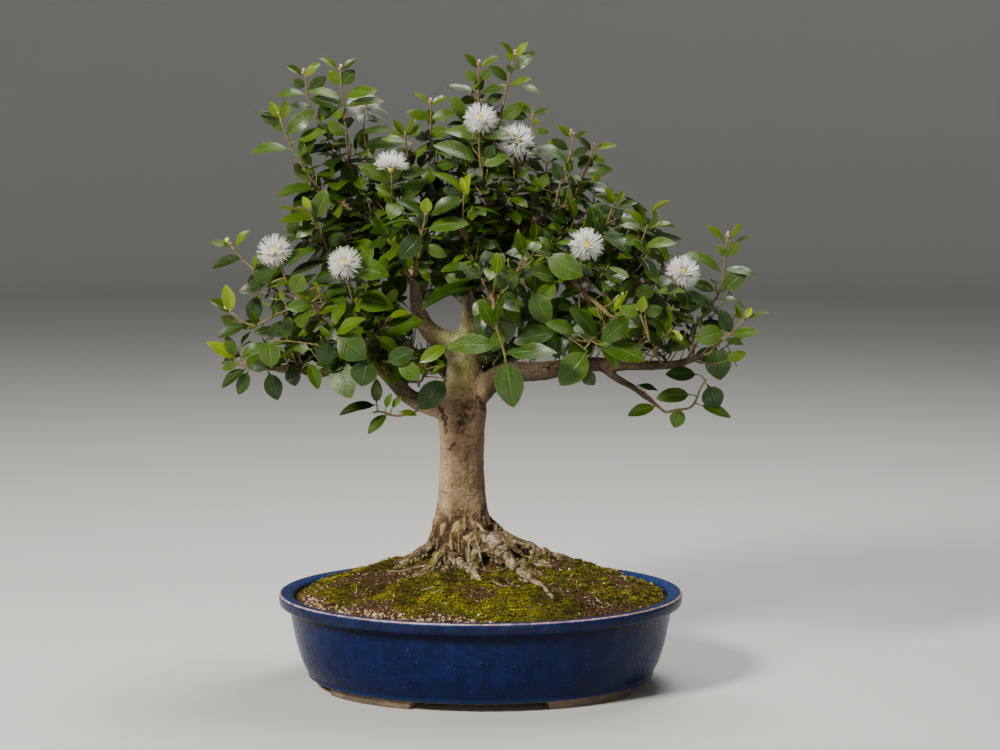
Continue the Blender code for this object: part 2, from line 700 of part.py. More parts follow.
def make_pot():
    rings = [oval(a, z) for a, z in POT_OUTSIDE + POT_INSIDE]
    pot = object_from("pot", sweep(rings))
    combine(pot, [foot(*arc) for arc in FOOT_ARCS], "UNION")
    drains = [disc("drain", x, DRAIN_RADIUS, -5, FLOOR_TOP + 5, 16) for x in (-DRAIN_X, DRAIN_X)]
    combine(pot, drains, "DIFFERENCE")
    return finish(pot, glaze, smooth=30.0)


def make_screen(name, x):
    """A slotted plastic disc that keeps the soil from falling through a drain hole."""
    low = FLOOR_TOP + GAP
    screen = disc(name, x, SCREEN_RADIUS, low, low + SCREEN_THICKNESS, 10)
    holes = []
    for dy in (-6, 0, 6):
        shape = bmesh.new()
        bmesh.ops.create_cube(shape, size=3.2)
        bmesh.ops.scale(shape, vec=(5.0, 1.0, 1.0), verts=shape.verts)
        bmesh.ops.translate(shape, vec=(x, dy, low), verts=shape.verts)
        holes.append(object_from("slot", shape))
    combine(screen, holes, "DIFFERENCE")
    return finish(screen, plastic, (x, 0, low))


def dome(x, y):
    """Height of the mound of soil, highest at the trunk and lowest along the wall of the pot."""
    r2 = min((x / 148.0) ** 2 + (y / 121.5) ** 2, 1.0)
    ripple = 1.3 * noise.noise(Vector((x, y, 0)) / 26.0) * min(1.0, 4 * (1 - r2))
    return SOIL_EDGE + SOIL_RISE * (1 - r2) ** 1.1 + ripple


def root_route(x, y, bend):
    """From inside the foot of the trunk, down over the mound, and then under it."""
    start = Vector((-15, 0, 0))
    reach = Vector((x, y, 0)) - start
    aside = reach.normalized().cross(Vector((0, 0, 1)))
    places = []
    for share, rise in ((0.08, 32.0), (0.20, 23.0), (0.36, 11.0), (0.60, 3.5), (0.84, 0.2), (1.0, -5.0)):
        place = start + reach * share + aside * (bend * math.sin(math.pi * share * 1.5))
        place.z = dome(place.x, place.y) + rise
        places.append(place)
    return places


def root_tubes(grow=0.0):
    tubes = []
    for k, (x, y, first, last, bend) in enumerate(ROOTS):
        route = Route(root_route(x, y, bend))
        points = route.between(0, route.length, 18.0)
        radii = [
            taper(first, last, route.length * i / (len(points) - 1), route.length) + grow
            for i in range(len(points))
        ]
        tubes.append(tube(f"root_{k}", points, radii, 1))
    return tubes


def trunk_tube(grow=0.0):
    route = [Vector(p) for p in TRUNK_ROUTE]
    route[0].z -= grow
    return tube("trunk", route, [r + grow for r in TRUNK_RADII], 4)


def make_soil():
    top = []
    for share in (1.0, 0.74, 0.46):
        ring = [point * share for point in oval(147.3, 0.0, GAP)]
        for point in ring:
            point.z = dome(point.x, point.y)
        top.append(ring)
    walls = [oval(131.0, FLOOR_TOP + GAP, GAP), oval(143.0, 36.0, GAP)]
    soil = object_from("soil", sweep(walls + top))
    cutters = root_tubes(GAP) + [trunk_tube(GAP)]
    for x in (-DRAIN_X, DRAIN_X):
        high = FLOOR_TOP + GAP + SCREEN_THICKNESS + GAP
        cutters.append(disc("recess", x, SCREEN_RADIUS + GAP, FLOOR_TOP - 5, high, 10))
    combine(soil, cutters, "DIFFERENCE")
    return finish(soil, earth)


def stem_tube(stem, resolution):
    return tube(stem.name, stem.spine(), [stem.radius(m) for m in stem.spine_marks()], resolution)


def square_section(place, run, side, other, mitre, radius):
    """Four corners where a square twig meets the plane in which it bends."""
    corners = []
    for a, b in ((1, 1), (-1, 1), (-1, -1), (1, -1)):
        corner = (side * a + other * b) * (radius * math.sqrt(0.5))
        corners.append(place + corner - run * (corner.dot(mitre) / run.dot(mitre)))
    return corners


def twig(stem):
    """A square twig, whose flat sides carry the leaves, with a swollen bud at its end if it has one."""
    points = stem.spine()
    frames = stem.frames()
    sections = []
    for i, point in enumerate(points):
        run, side, other = frames[min(i, len(frames) - 1)]
        before = frames[max(i - 1, 0)][0]
        sections.append(square_section(point, run, side, other, before + run, TWIG_RADIUS))
    if stem.ending == "bud":
        run, side, other = frames[-1]
        for ahead, radius in ((1.4, 2.6), (3.4, 2.6), (5.0, 1.0)):
            place = points[-1] + run * ahead
            sections.append(square_section(place, run, side, other, run, radius))
    return object_from(stem.name, sweep(sections))


def stub(stem):
    """The short woody start of a leafy stem, on its limb and in line with the stem's first run."""
    run, side, other = stem.frames()[0]
    start = stem.spine()[0]
    if stem.name in LEAFY_BRANCHES:
        points = [start - run * stem.start, start - run * GAP]
        return tube("stub", points, [stem.first] * 2, 1)
    sections = [
        square_section(place, run, side, other, run, TWIG_RADIUS)
        for place in (stem.route.at(0.0), start - run * GAP)
    ]
    return object_from("stub", sweep(sections))


def make_trunk(stems):
    """Trunk, roots and limbs, with a short stub where each leafy stem leaves them."""
    parts = root_tubes()
    for stem in stems.values():
        if stem.piece == "trunk" and stem.name != "trunk":
            parts.append(stem_tube(stem, 2 if stem.first > 7 else 1))
        elif stem.name in LEAFY_BRANCHES or (stem.own_piece and not stem.at_end):
            parts.append(stub(stem))
    trunk = combine(trunk_tube(), parts, "UNION")
    return finish(trunk, bark, TRUNK_ROUTE[0])


def make_leaf(leaf):
    corners = leaf_corners(leaf)
    sections = [corners[0:3], corners[3:6]]
    if leaf["age"] > YOUNG:
        sections.append(corners[6:9])
    return object_from("leaf", sweep(sections, corners[9]))


def make_spray(piece, stems, leaves):
    """One leafy stem: its twigs, leaves and buds, fused."""
    twigs = []
    for stem in stems:
        limb = stem.name in LIMBS
        twigs.append(stem_tube(stem, 1) if limb else twig(stem))
    blades = [make_leaf(leaf) for leaf in leaves]
    spray = combine(twigs[0], twigs[1:] + blades, "UNION")
    spray.name = piece
    return finish(spray, foliage, stems[0].route.at(stems[0].start), 60.0)


def make_bloom(stem):
    """A brush of stamens round a small core. None grow back along the stem."""
    draw = random.Random("bloom " + stem.name)
    back = -stem.route.heading(stem.end)
    shape = bmesh.new()
    bmesh.ops.create_icosphere(shape, subdivisions=2, radius=BLOOM_CORE)
    brushed = [
        face for face in shape.faces
        if math.degrees(face.calc_center_median().angle(back)) > 48
    ]
    for vert in bmesh.ops.poke(shape, faces=brushed)["verts"]:
        vert.co = vert.co.normalized() * BLOOM_RADIUS * draw.uniform(0.84, 1.0)
    bloom = object_from("bloom_" + stem.name.removesuffix("_flowering"), shape)
    finish(bloom, petals, (0, 0, 0), 20.0)
    bloom.location = stem.bloom * MM
    return bloom


for old in list(bpy.data.objects):
    bpy.data.objects.remove(old)

whole = bpy.data.objects.new("bonsai", None)
bpy.context.scene.collection.objects.link(whole)

glaze = material("blue_glaze", (0.012, 0.035, 0.16), 0.25)
plastic = material("screen_plastic", (0.03, 0.03, 0.03), 0.6)
earth = material("mossy_soil", (0.12, 0.10, 0.03), 0.95)
bark = material("bark", (0.36, 0.27, 0.18), 0.85)
foliage = material("leaf_green", (0.07, 0.18, 0.03), 0.4)
petals = material("stamen_white", (0.9, 0.88, 0.74), 0.6)

all_stems = lay_out_stems()
all_leaves = lay_out_leaves(all_stems)
make_pot()
make_screen("drain_screen_left", -DRAIN_X)
make_screen("drain_screen_right", DRAIN_X)
make_soil()
make_trunk(all_stems)
for piece_name in dict.fromkeys(each.piece for each in all_stems.values()):
    if piece_name != "trunk":
        make_spray(
            piece_name,
            [each for each in all_stems.values() if each.piece == piece_name],
            [leaf for leaf in all_leaves if leaf["piece"] == piece_name],
        )
for each in all_stems.values():
    if each.bloom:
        make_bloom(each)
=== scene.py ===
"""The looks of a brush cherry bonsai and its glazed pot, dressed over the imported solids.

Lengths in the layout are in millimetres, +Z up, with the front towards -Y. The limbs and
shoots stand where the solids have them. Leaves stand where the solids have them and where the
front shows them, and finer twigs and more leaves grow from the same limbs.
"""

import math
import random
from itertools import product

import bmesh
import bpy
from mathutils import Matrix, Vector, noise
from mathutils.bvhtree import BVHTree
from mathutils.kdtree import KDTree


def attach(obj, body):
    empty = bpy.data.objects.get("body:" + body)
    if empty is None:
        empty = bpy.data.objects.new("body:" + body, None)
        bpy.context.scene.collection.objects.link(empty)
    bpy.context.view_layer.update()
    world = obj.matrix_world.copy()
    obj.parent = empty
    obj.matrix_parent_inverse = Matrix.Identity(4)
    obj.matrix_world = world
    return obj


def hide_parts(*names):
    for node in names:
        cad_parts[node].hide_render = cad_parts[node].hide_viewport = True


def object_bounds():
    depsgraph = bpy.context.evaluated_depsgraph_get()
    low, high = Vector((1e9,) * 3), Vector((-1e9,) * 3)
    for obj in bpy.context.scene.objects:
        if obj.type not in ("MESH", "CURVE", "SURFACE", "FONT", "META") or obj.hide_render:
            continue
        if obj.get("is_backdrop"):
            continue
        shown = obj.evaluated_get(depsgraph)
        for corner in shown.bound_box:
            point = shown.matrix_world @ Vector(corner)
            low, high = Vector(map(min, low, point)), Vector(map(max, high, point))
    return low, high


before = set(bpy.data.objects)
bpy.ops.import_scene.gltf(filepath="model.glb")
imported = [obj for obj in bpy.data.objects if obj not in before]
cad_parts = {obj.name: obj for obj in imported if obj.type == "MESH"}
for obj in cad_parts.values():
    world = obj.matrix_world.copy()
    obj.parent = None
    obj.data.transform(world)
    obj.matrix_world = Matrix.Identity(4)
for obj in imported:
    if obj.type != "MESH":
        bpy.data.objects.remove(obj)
cad_low, cad_high = (Vector(corner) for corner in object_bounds())
noise.seed_set(3)  # without it noise_vector gives other numbers on every run

MM = 0.001
GAP = 0.35  # clearance between pieces that touch on the real plant, in mm

# Pot
OVAL_DIFFERENCE = 26.5  # how much shorter the half depth is than the half width
FOOT_HEIGHT = 7.0
FLOOR_TOP = 15.0
FOOT_ARCS = [(21.0, 65.0), (115.0, 159.0), (201.0, 245.0), (295.0, 339.0)]
FOOT_HALF_WIDTH = 124.5
FOOT_WALL = 19.0
DRAIN_X = 58.0
DRAIN_RADIUS = 12.0

# Soil
SOIL_EDGE = 68.4
SOIL_RISE = 35.0
SOIL_HALF_WIDTH = 147.0
SOIL_HALF_DEPTH = 120.5
TRUNK_X = -15.0  # where the foot of the trunk stands

# Leaves, twigs and blooms
LEAF_THICKNESS = 1.5
BLOOM_RADIUS = 14.0
BLOOM_CORE = 4.6
PAIR_SPACING = 15.0
CROWN_MIDDLE = Vector((-5, 10, 290))
TWIG_RADIUS = 1.5  # to the corners of a square twig
RUN_LENGTH = 24.0  # of one straight run of a twig
ROUTE_STEP = 2.0  # between the points of a smooth route
SHELL_SIDES = 6  # of the plain tubes that are tested for crossings

# The route of the trunk, and its radii at even steps along it.
TRUNK_ROUTE = [
    (-15, 0, 84), (-15, 0, 104), (-15, 0, 118), (-15, 0, 132), (-15, 0, 148), (-15, 0, 168),
    (-15, 0, 188), (-15, 0, 206), (-14, 0, 222), (-12, 0, 240), (-13, 0, 256), (-11, 0, 270),
    (-8, 0, 284),
]
TRUNK_RADII = [22, 27, 25, 21.5, 19, 18, 17.5, 18, 19.5, 17, 14.5, 11.5, 8.4]
# The route of each limb, and its radius at the start and the end.
LIMBS = {
    "left_leader": (
        [(-15, 0, 258), (-24, 1, 270), (-40, 5, 280), (-50, 10, 298), (-53, 15, 320),
         (-65, 20, 349), (-80, 22, 360), (-97, 20, 372), (-115, 15, 384)],
        10.0, 2.2,
    ),
    "left_leader_b": ([(-55, 17, 332), (-48, 25, 351), (-42, 30, 370), (-40, 23, 400)], 3.4, 2.0),
    "right_leader": (
        [(-12, 0, 258), (-7, 0, 279), (-8, 0, 298), (-2, 5, 316), (12, 12, 333), (31, 15, 355),
         (43, 14, 368), (55, 10, 374)],
        8.5, 2.6,
    ),
    "back_leader": (
        [(-8, 1, 302), (-20, 10, 312), (-33, 24, 325), (-41, 34, 342), (-32, 40, 370),
         (-16, 40, 394), (-4, 36, 422)],
        5.5, 2.2,
    ),
    "centre": ([(10, 11, 331), (16, 12, 345), (13, 9, 364), (7, 5, 379), (2, 1, 390)], 3.8, 2.2),
    "right_limb": (
        [(-14, 0, 219), (1, -5, 234), (19, -14, 248), (50, -20, 251), (81, -22, 256),
         (111, -22, 256), (144, -24, 256), (160, -25, 259), (174, -26, 264)],
        10.5, 2.2,
    ),
    "right_fork": (
        [(92, -22, 256), (108, -28, 245), (119, -32, 239), (131, -35, 230), (139, -36, 224)],
        3.6, 1.8),
    "left_limb": (
        [(-16, 0, 208), (-32, -3, 219), (-52, -10, 227), (-65, -13, 239), (-80, -18, 254),
         (-99, -22, 257), (-125, -26, 250), (-146, -29, 254), (-166, -31, 254)],
        8.5, 2.0,
    ),
    "left_mid": (
        [(-44, 6, 286), (-62, -16, 291), (-93, -30, 297), (-122, -38, 303), (-143, -40, 309)],
        3.8, 1.9),
    "front_left": ([(-51, 11, 302), (-51, -8, 318), (-49, -30, 334), (-46, -46, 345)], 3.4, 1.9),
    "front": (
        [(-7, -1, 296), (-5, -22, 312), (3, -54, 323), (9, -86, 315), (11, -106, 300)], 3.8, 1.9),
    "front_right": (
        [(20, 14, 343), (40, -6, 342), (62, -32, 330), (82, -54, 313), (98, -70, 299)], 3.8, 1.9),
    "right_mid": (
        [(34, 15, 358), (58, 12, 356), (86, 0, 343), (112, -9, 326), (138, -22, 306)], 3.8, 1.9),
    "back_right": (
        [(12, 11, 333), (36, 39, 342), (62, 65, 342), (88, 86, 334), (108, 99, 326)], 4.0, 1.9),
    "back_middle": ([(-33, 22, 325), (-22, 50, 338), (-6, 78, 345), (8, 100, 345)], 4.0, 1.9),
    "back_left": ([(-53, 14, 320), (-72, 43, 331), (-96, 69, 335), (-118, 89, 336)], 4.0, 1.9),
    "low_back_right": (
        [(-14, 0, 228), (8, 24, 247), (42, 58, 262), (74, 82, 269), (100, 95, 274)], 7.0, 1.9),
    "low_back_left": ([(-14, 0, 232), (-34, 28, 250), (-64, 61, 263), (-88, 86, 268)], 6.0, 1.9),
}

# Roots that spread over the mound: where each ends as seen from above, its radius at the start
# and the end, and how far it bends sideways.
ROOTS = [
    (86, 9, 10.5, 3.0, 5), (72, -24, 9.0, 2.6, -4), (56, -62, 12.0, 3.0, 6),
    (28, -56, 8.5, 2.6, -4), (2, -66, 12.0, 3.0, -6), (-24, -60, 9.0, 2.6, 5),
    (-50, -50, 10.5, 2.8, -5),
    (-70, -18, 11.0, 3.0, 4), (-66, 22, 9.0, 2.6, -4), (-38, 58, 9.5, 2.6, 5),
    (8, 62, 9.5, 2.6, -5), (52, 46, 9.5, 2.6, 5),
]

# Leafy shoots: what carries each one, what ends it, how many leaf pairs it has, and its route.
# "tip" is a pair of young leaves, "bud" adds flower buds, and "bloom" carries an open bloom.
SHOOTS = {
    "upper_left_outer": ("left_leader", "bud", 4,
        [(-130, 7, 396), (-140, 4, 411), (-146, 1, 422), (-151, -2, 433), (-156, -5, 449)]),
    "upper_left_low": ("left_leader", "tip", 4,
        [(-120, 19, 345), (-123, 10, 351), (-129, -1, 366), (-136, -15, 383)]),
    "upper_left_mid": ("left_leader", "bud", 4,
        [(-111, 15, 421), (-119, 13, 434), (-127, 10, 442), (-134, 9, 460), (-138, 5, 486)]),
    "upper_left_inner": ("left_leader", "bud", 4,
        [(-99, 15, 396), (-104, 10, 420), (-106, 4, 448), (-108, -3, 472), (-108, -8, 489)]),
    "upper_left_flowering": ("left_leader", "bloom", 2,
        [(-88, 26, 392), (-90, 26, 416), (-92, 22, 438), (-92, 16, 456)]),
    "centre_left_flowering": ("left_leader_b", "bloom", 2,
        [(-60, 8, 366), (-68, -10, 378), (-68, -26, 396), (-68, -38, 410)]),
    "top_left": ("left_leader_b", "bud", 3, [(-40, 20, 421), (-39, 16, 444), (-39, 12, 461)]),
    "centre_left": ("left_leader_b", "tip", 3, [(-52, 20, 400), (-58, 10, 424), (-59, 2, 446)]),
    "top_centre": ("back_leader", "bud", 3, [(-2, 35, 441), (-2, 32, 461), (-1, 25, 491)]),
    "top": ("centre", "bud", 5, [(9, 6, 420), (16, 12, 450), (21, 14, 472), (28, 15, 503)]),
    "top_flowering": ("centre", "bloom", 2, [(2, -8, 398), (-1, -12, 424), (0, -14, 446)]),
    "top_right_flowering": ("right_leader", "bloom", 2,
        [(28, 8, 380), (26, 2, 398), (26, -5, 420), (29, -10, 430)]),
    "top_right": ("centre", "tip", 3, [(30, 13, 404), (38, 15, 428), (42, 15, 456)]),
    "right_upper": ("right_leader", "bud", 3,
        [(60, 8, 386), (68, 5, 412), (72, 2, 426), (71, 0, 437)]),
    "right_upper_outer": ("right_leader", "bud", 3,
        [(72, 17, 384), (79, 16, 398), (86, 13, 414), (89, 10, 428)]),
    "right_shoulder": ("right_mid", "tip", 4, [(92, -2, 350), (99, -7, 366), (105, -10, 386)]),
    "right_shoulder_low": ("right_mid", "tip", 4,
        [(115, -11, 332), (124, -16, 348), (130, -20, 366)]),
    "right_middle_flowering": ("front_right", "bloom", 2,
        [(77, -42, 318), (77, -50, 334), (81, -60, 351)]),
    "right_flowering": ("right_mid", "bloom", 2,
        [(144, -25, 306), (151, -32, 316), (156, -39, 329)]),
    "right_tip": ("right_limb", "tip", 4,
        [(181, -27, 270), (192, -28, 279), (202, -29, 289), (207, -30, 296)]),
    "right_high": ("right_limb", "bud", 5,
        [(166, -20, 284), (178, -20, 300), (187, -20, 316), (190, -20, 339), (192, -20, 358)]),
    "right_fork_tip": ("right_fork", "tip", 3,
        [(150, -36, 222), (164, -36, 225), (171, -36, 240), (179, -36, 252)]),
    "left_high": ("left_mid", "tip", 4,
        [(-158, -34, 315), (-172, -28, 328), (-187, -24, 341), (-195, -24, 352)]),
    "left_flowering": ("left_mid", "bloom", 2,
        [(-146, -42, 316), (-151, -46, 330), (-157, -50, 346)]),
    "left_inner_flowering": ("left_mid", "bloom", 2,
        [(-98, -42, 304), (-100, -50, 318), (-103, -55, 337)]),
    "left_yellow": ("left_mid", "bud", 3,
        [(-158, -40, 296), (-176, -34, 288), (-192, -30, 297), (-205, -30, 310)]),
    "left_low": ("left_limb", "tip", 3, [(-178, -33, 255), (-190, -33, 259), (-204, -34, 273)]),
    "left_under": ("left_limb", "tip", 3, [(-142, -34, 248), (-155, -44, 242), (-166, -54, 233)]),
    "left_lime": ("left_mid", "tip", 4, [(-118, -44, 308), (-125, -54, 320), (-128, -64, 334)]),
    "left_centre": ("left_limb", "tip", 4, [(-108, -34, 262), (-120, -52, 272), (-137, -70, 282)]),
    "left_inner": ("left_mid", "tip", 4, [(-76, -36, 288), (-83, -66, 281), (-92, -104, 274)]),
    "centre_lime": ("front_left", "tip", 4, [(-45, -56, 356), (-42, -63, 370), (-41, -70, 383)]),
    "centre_front": ("front", "tip", 4, [(-8, -42, 346), (-13, -46, 370), (-11, -50, 402)]),
    "pendant": ("front", "tip", 4, [(15, -114, 286), (19, -117, 272), (20, -120, 258)]),
    "pendant_right": ("front_right", "tip", 4, [(90, -82, 287), (81, -94, 278), (70, -106, 267)]),
    "trunk_left": ("left_limb", "tip", 3,
        [(-50, -16, 219), (-66, -22, 216), (-80, -27, 220), (-93, -30, 214)]),
    "right_mid_long": ("front", "tip", 5, [(22, -68, 322), (32, -74, 342), (29, -80, 364)]),
    "right_mid_tip": ("front_right", "tip", 4,
        [(100, -58, 304), (103, -66, 318), (104, -74, 334)]),
    "right_low": ("right_limb", "tip", 3, [(134, -36, 268), (140, -50, 278), (146, -62, 288)]),
    "right_inner": ("right_limb", "tip", 4, [(54, -36, 258), (52, -72, 254), (52, -112, 256)]),
    "right_under": ("right_limb", "tip", 2, [(112, -38, 268), (121, -66, 276), (127, -98, 282)]),
    "front_left_low": ("left_limb", "tip", 4, [(-46, -28, 244), (-44, -64, 258), (-50, -112, 264)]),
    "back_top": ("back_leader", "tip", 3, [(-14, 54, 404), (-14, 67, 424), (-12, 74, 446)]),
    "back_top_right": ("back_right", "tip", 3, [(50, 61, 372), (52, 73, 394), (54, 78, 418)]),
    "back_top_left": ("back_left", "tip", 3, [(-74, 58, 364), (-80, 65, 390), (-88, 69, 416)]),
    "back_right_tip": ("back_right", "tip", 3,
        [(120, 104, 330), (134, 110, 342), (144, 113, 358)]),
    "back_right_high": ("back_right", "tip", 4, [(90, 97, 352), (92, 106, 374), (94, 110, 392)]),
    "back_right_low": ("low_back_right", "tip", 3,
        [(118, 100, 276), (134, 104, 282), (148, 104, 294)]),
    "back_middle_tip": ("back_middle", "tip", 3, [(14, 112, 350), (18, 121, 366), (18, 126, 386)]),
    "back_middle_low": ("low_back_right", "tip", 3,
        [(46, 89, 278), (40, 106, 286), (34, 123, 298)]),
    "back_middle_left": ("back_middle", "tip", 3,
        [(-24, 93, 352), (-32, 108, 366), (-36, 115, 384)]),
    "back_left_tip": ("back_left", "tip", 3,
        [(-132, 97, 340), (-146, 100, 352), (-152, 102, 370)]),
    "back_left_low": ("low_back_left", "tip", 3,
        [(-104, 95, 270), (-122, 100, 276), (-138, 100, 290)]),
    "back_left_under": ("low_back_left", "tip", 3,
        [(-66, 86, 276), (-58, 104, 284), (-50, 121, 298)]),
    "side_right": ("right_limb", "tip", 3, [(136, 4, 270), (152, 26, 284), (166, 44, 300)]),
    "side_left": ("left_limb", "tip", 4, [(-132, -4, 262), (-148, 22, 276), (-160, 44, 292)]),
    "side_right_high": ("right_mid", "tip", 3, [(118, 14, 336), (130, 34, 352), (136, 52, 372)]),
    "side_left_high": ("left_leader", "tip", 3,
        [(-98, 38, 352), (-118, 52, 352), (-136, 62, 366)]),
}
# Limbs that are one leafy branch with the shoots they carry. The other limbs belong to the trunk.
LEAFY_BRANCHES = [
    "front_left", "front", "front_right", "right_mid", "back_right", "back_middle", "back_left",
    "low_back_right", "low_back_left",
]


def smooth_route(points):
    """Points every few millimetres along one smooth curve through the given ones."""
    knots = [Vector(p) for p in points]
    knots = [knots[0] * 2 - knots[1]] + knots + [knots[-1] * 2 - knots[-2]]
    route = []
    for a, b, c, d in zip(knots, knots[1:], knots[2:], knots[3:]):
        count = max(2, int((c - b).length / ROUTE_STEP))
        for i in range(count):
            t = i / count
            route.append(
                0.5 * (2 * b + (c - a) * t + (2 * a - 5 * b + 4 * c - d) * t * t
                       + (3 * b - 3 * c + d - a) * t * t * t)
            )
    return route + [knots[-2]]


class Route:
    """A smooth curve that can be read at any distance along it."""

    def __init__(self, points):
        self.points = smooth_route(points)
        self.marks = [0.0]
        for a, b in zip(self.points, self.points[1:]):
            self.marks.append(self.marks[-1] + (b - a).length)
        self.length = self.marks[-1]

    def at(self, distance):
        distance = min(max(distance, 0.0), self.length)
        i = 0
        while i < len(self.marks) - 2 and self.marks[i + 1] < distance:
            i += 1
        span = self.marks[i + 1] - self.marks[i]
        t = (distance - self.marks[i]) / span
        return self.points[i].lerp(self.points[i + 1], t)

    def heading(self, distance):
        return (self.at(distance + 1.5) - self.at(distance - 1.5)).normalized()

    def between(self, start, end, spacing):
        count = max(1, round((end - start) / spacing))
        return [self.at(start + (end - start) * i / count) for i in range(count + 1)]


def tube_shell(points, radii):
    """Corners and faces of a plain tube, for finding what crosses what."""
    sides = SHELL_SIDES
    corners = [corner for ring in tube_sections(points, radii, sides) for corner in ring]
    faces = []
    for i in range(len(points) - 1):
        for k in range(sides):
            a = i * sides + k
            b = i * sides + (k + 1) % sides
            faces.append((a, b, b + sides, a + sides))
    return corners, faces


def leaf_corners(leaf, grow=0.0, start=0.0):
    """Corners of a leaf: three at the neck, the widest part and near the end, then its point."""
    sections = [
        (start, 0.25 + grow + start * 1.1 * leaf["width"], 0.5, 0.0),
        (0.42, 0.5 * leaf["width"] + grow, LEAF_THICKNESS, 0.015),
        (0.74, 0.35 * leaf["width"] + grow, LEAF_THICKNESS * 0.8, -0.02),
    ]
    corners = []
    for along, half_width, keel, lift in sections:
        middle = leaf["foot"] + leaf["ahead"] * along * leaf["length"]
        middle = middle + leaf["up"] * (lift * leaf["length"])
        corners.append(middle - leaf["side"] * half_width + leaf["up"] * grow)
        corners.append(middle + leaf["side"] * half_width + leaf["up"] * grow)
        corners.append(middle - leaf["up"] * (keel + grow))
    point = leaf["foot"] + leaf["ahead"] * (leaf["length"] + grow)
    corners.append(point - leaf["up"] * (0.09 * leaf["length"]))
    return corners


LEAF_FACES = [(0, 1, 2)]
for ring in (0, 3):
    LEAF_FACES += [(ring, ring + 3, ring + 4), (ring, ring + 4, ring + 1)]
    LEAF_FACES += [(ring, ring + 2, ring + 5), (ring, ring + 5, ring + 3)]
    LEAF_FACES += [(ring + 1, ring + 5, ring + 2), (ring + 1, ring + 4, ring + 5)]
LEAF_FACES += [(6, 9, 7), (6, 8, 9), (7, 9, 8)]
YOUNG = 0.4  # younger leaves are shaped like a lance


def nearest_on(route, place):
    """How far along the route to leave it for the place, so that the shoot points forward."""
    return min(route.marks, key=lambda mark: (route.at(mark) - place).length - 0.35 * mark)


def taper(first, last, distance, length):
    return first + (last - first) * min(distance / length, 1.0)


class Stem:
    """A limb or a shoot: its route, its radius along it, and the piece that it belongs to."""

    def __init__(self, name, piece, points, first, last):
        self.name = name
        self.piece = piece
        self.route = Route(points)
        self.first = first
        self.last = last
        self.start = 0.0
        self.end = self.route.length
        self.taken = False
        self.at_end = False
        self.twist = 0.0
        self.ending = None
        self.pairs = 0
        self.bloom = None
        self.joints = []

    def radius(self, distance):
        return taper(self.first, self.last, distance, self.route.length)

    def spine_marks(self):
        """How far along the route each straight run of its tube starts and ends."""
        if not self.joints and self.at_end:
            self.joints = [self.start] + self.shares(self.start + 3.0, self.end)
        elif not self.joints:
            self.joints = self.shares(self.start, self.end)
        return self.joints

    def spine(self):
        return [self.route.at(mark) for mark in self.spine_marks()]

    def shares(self, start, end):
        count = max(1, round((end - start) / RUN_LENGTH))
        return [start + (end - start) * i / count for i in range(count + 1)]

    def frames(self):
        """For each straight run, its direction and two directions square to it, never twisting."""
        points = self.spine()
        runs = [(b - a).normalized() for a, b in zip(points, points[1:])]
        side = runs[0].orthogonal().normalized()
        side = Matrix.Rotation(self.twist, 3, runs[0]) @ side
        found = [(runs[0], side, runs[0].cross(side))]
        for before, run in zip(runs, runs[1:]):
            side = before.rotation_difference(run) @ side
            side = (side - run * side.dot(run)).normalized()
            found.append((run, side, run.cross(side)))
        return found

    def frame_at(self, distance):
        return self.frames()[sum(1 for mark in self.spine_marks()[1:-1] if mark < distance)]

    def on_spine(self, distance):
        """The middle of the tube at this distance, which a bend keeps a little off the route."""
        marks = self.spine_marks()
        points = self.spine()
        i = 0
        while i < len(marks) - 2 and marks[i + 1] < distance:
            i += 1
        share = (distance - marks[i]) / (marks[i + 1] - marks[i])
        return points[i].lerp(points[i + 1], min(max(share, 0.0), 1.0))


def clear_start(route, radius, wood):
    """How far along the route a shoot this thick is out of the wood that it grows from."""
    distance = 0.0
    while distance < route.length - 12.0:
        place = route.at(distance)
        if all((place - point).length > thick + radius + 1.0 for point, thick in wood):
            break
        distance += 0.5
    return distance


def lay_out_stems():
    """Every limb and shoot, in the order in which they grow."""
    stems = {"trunk": Stem("trunk", "trunk", TRUNK_ROUTE, 20.0, 17.0)}
    for name, (points, first, last) in LIMBS.items():
        piece = "branch_" + name if name in LEAFY_BRANCHES else "trunk"
        stems[name] = Stem(name, piece, points, first, last)
    wood = [
        (stem.on_spine(mark), stem.radius(mark))
        for stem in stems.values() if stem.piece == "trunk"
        for mark in stem.route.marks
    ]
    for stem in stems.values():
        if stem.piece != "trunk":
            stem.start = clear_start(stem.route, stem.first, wood)
    for name, (carrier, ending, pairs, points) in SHOOTS.items():
        limb = stems[carrier]
        mark = max(nearest_on(limb.route, Vector(points[0])), limb.start + 6.0)
        at_end = limb.route.length - mark < 8.0 and not limb.taken
        limb.taken = limb.taken or at_end
        mark = limb.route.length if at_end else min(mark, limb.route.length - 9.0)
        way = [limb.route.at(mark)]
        if at_end:
            way.append(way[0] + limb.route.heading(mark - 2.0) * 6.0)
        else:
            way.append(way[0] + (Vector(points[0]) - way[0]).normalized() * 10.0)
            if (Vector(points[0]) - way[0]).length < 14.0:
                way.pop()
        own_piece = limb.piece == "trunk"
        piece = "spray_" + name if own_piece else limb.piece
        stem = Stem(name, piece, way + [Vector(p) for p in points], TWIG_RADIUS, TWIG_RADIUS)
        stem.twist = math.radians(90.0) * random.Random("twist " + name).random()
        stem.at_end = at_end
        stem.ending = ending
        stem.pairs = pairs
        if own_piece:
            stem.start = GAP * 2 if at_end else clear_start(stem.route, TWIG_RADIUS, wood)
        if ending == "bloom":
            stem.bloom = stem.route.at(stem.route.length)
            stem.end = stem.route.length - BLOOM_CORE - GAP
        stems[name] = stem
    return stems


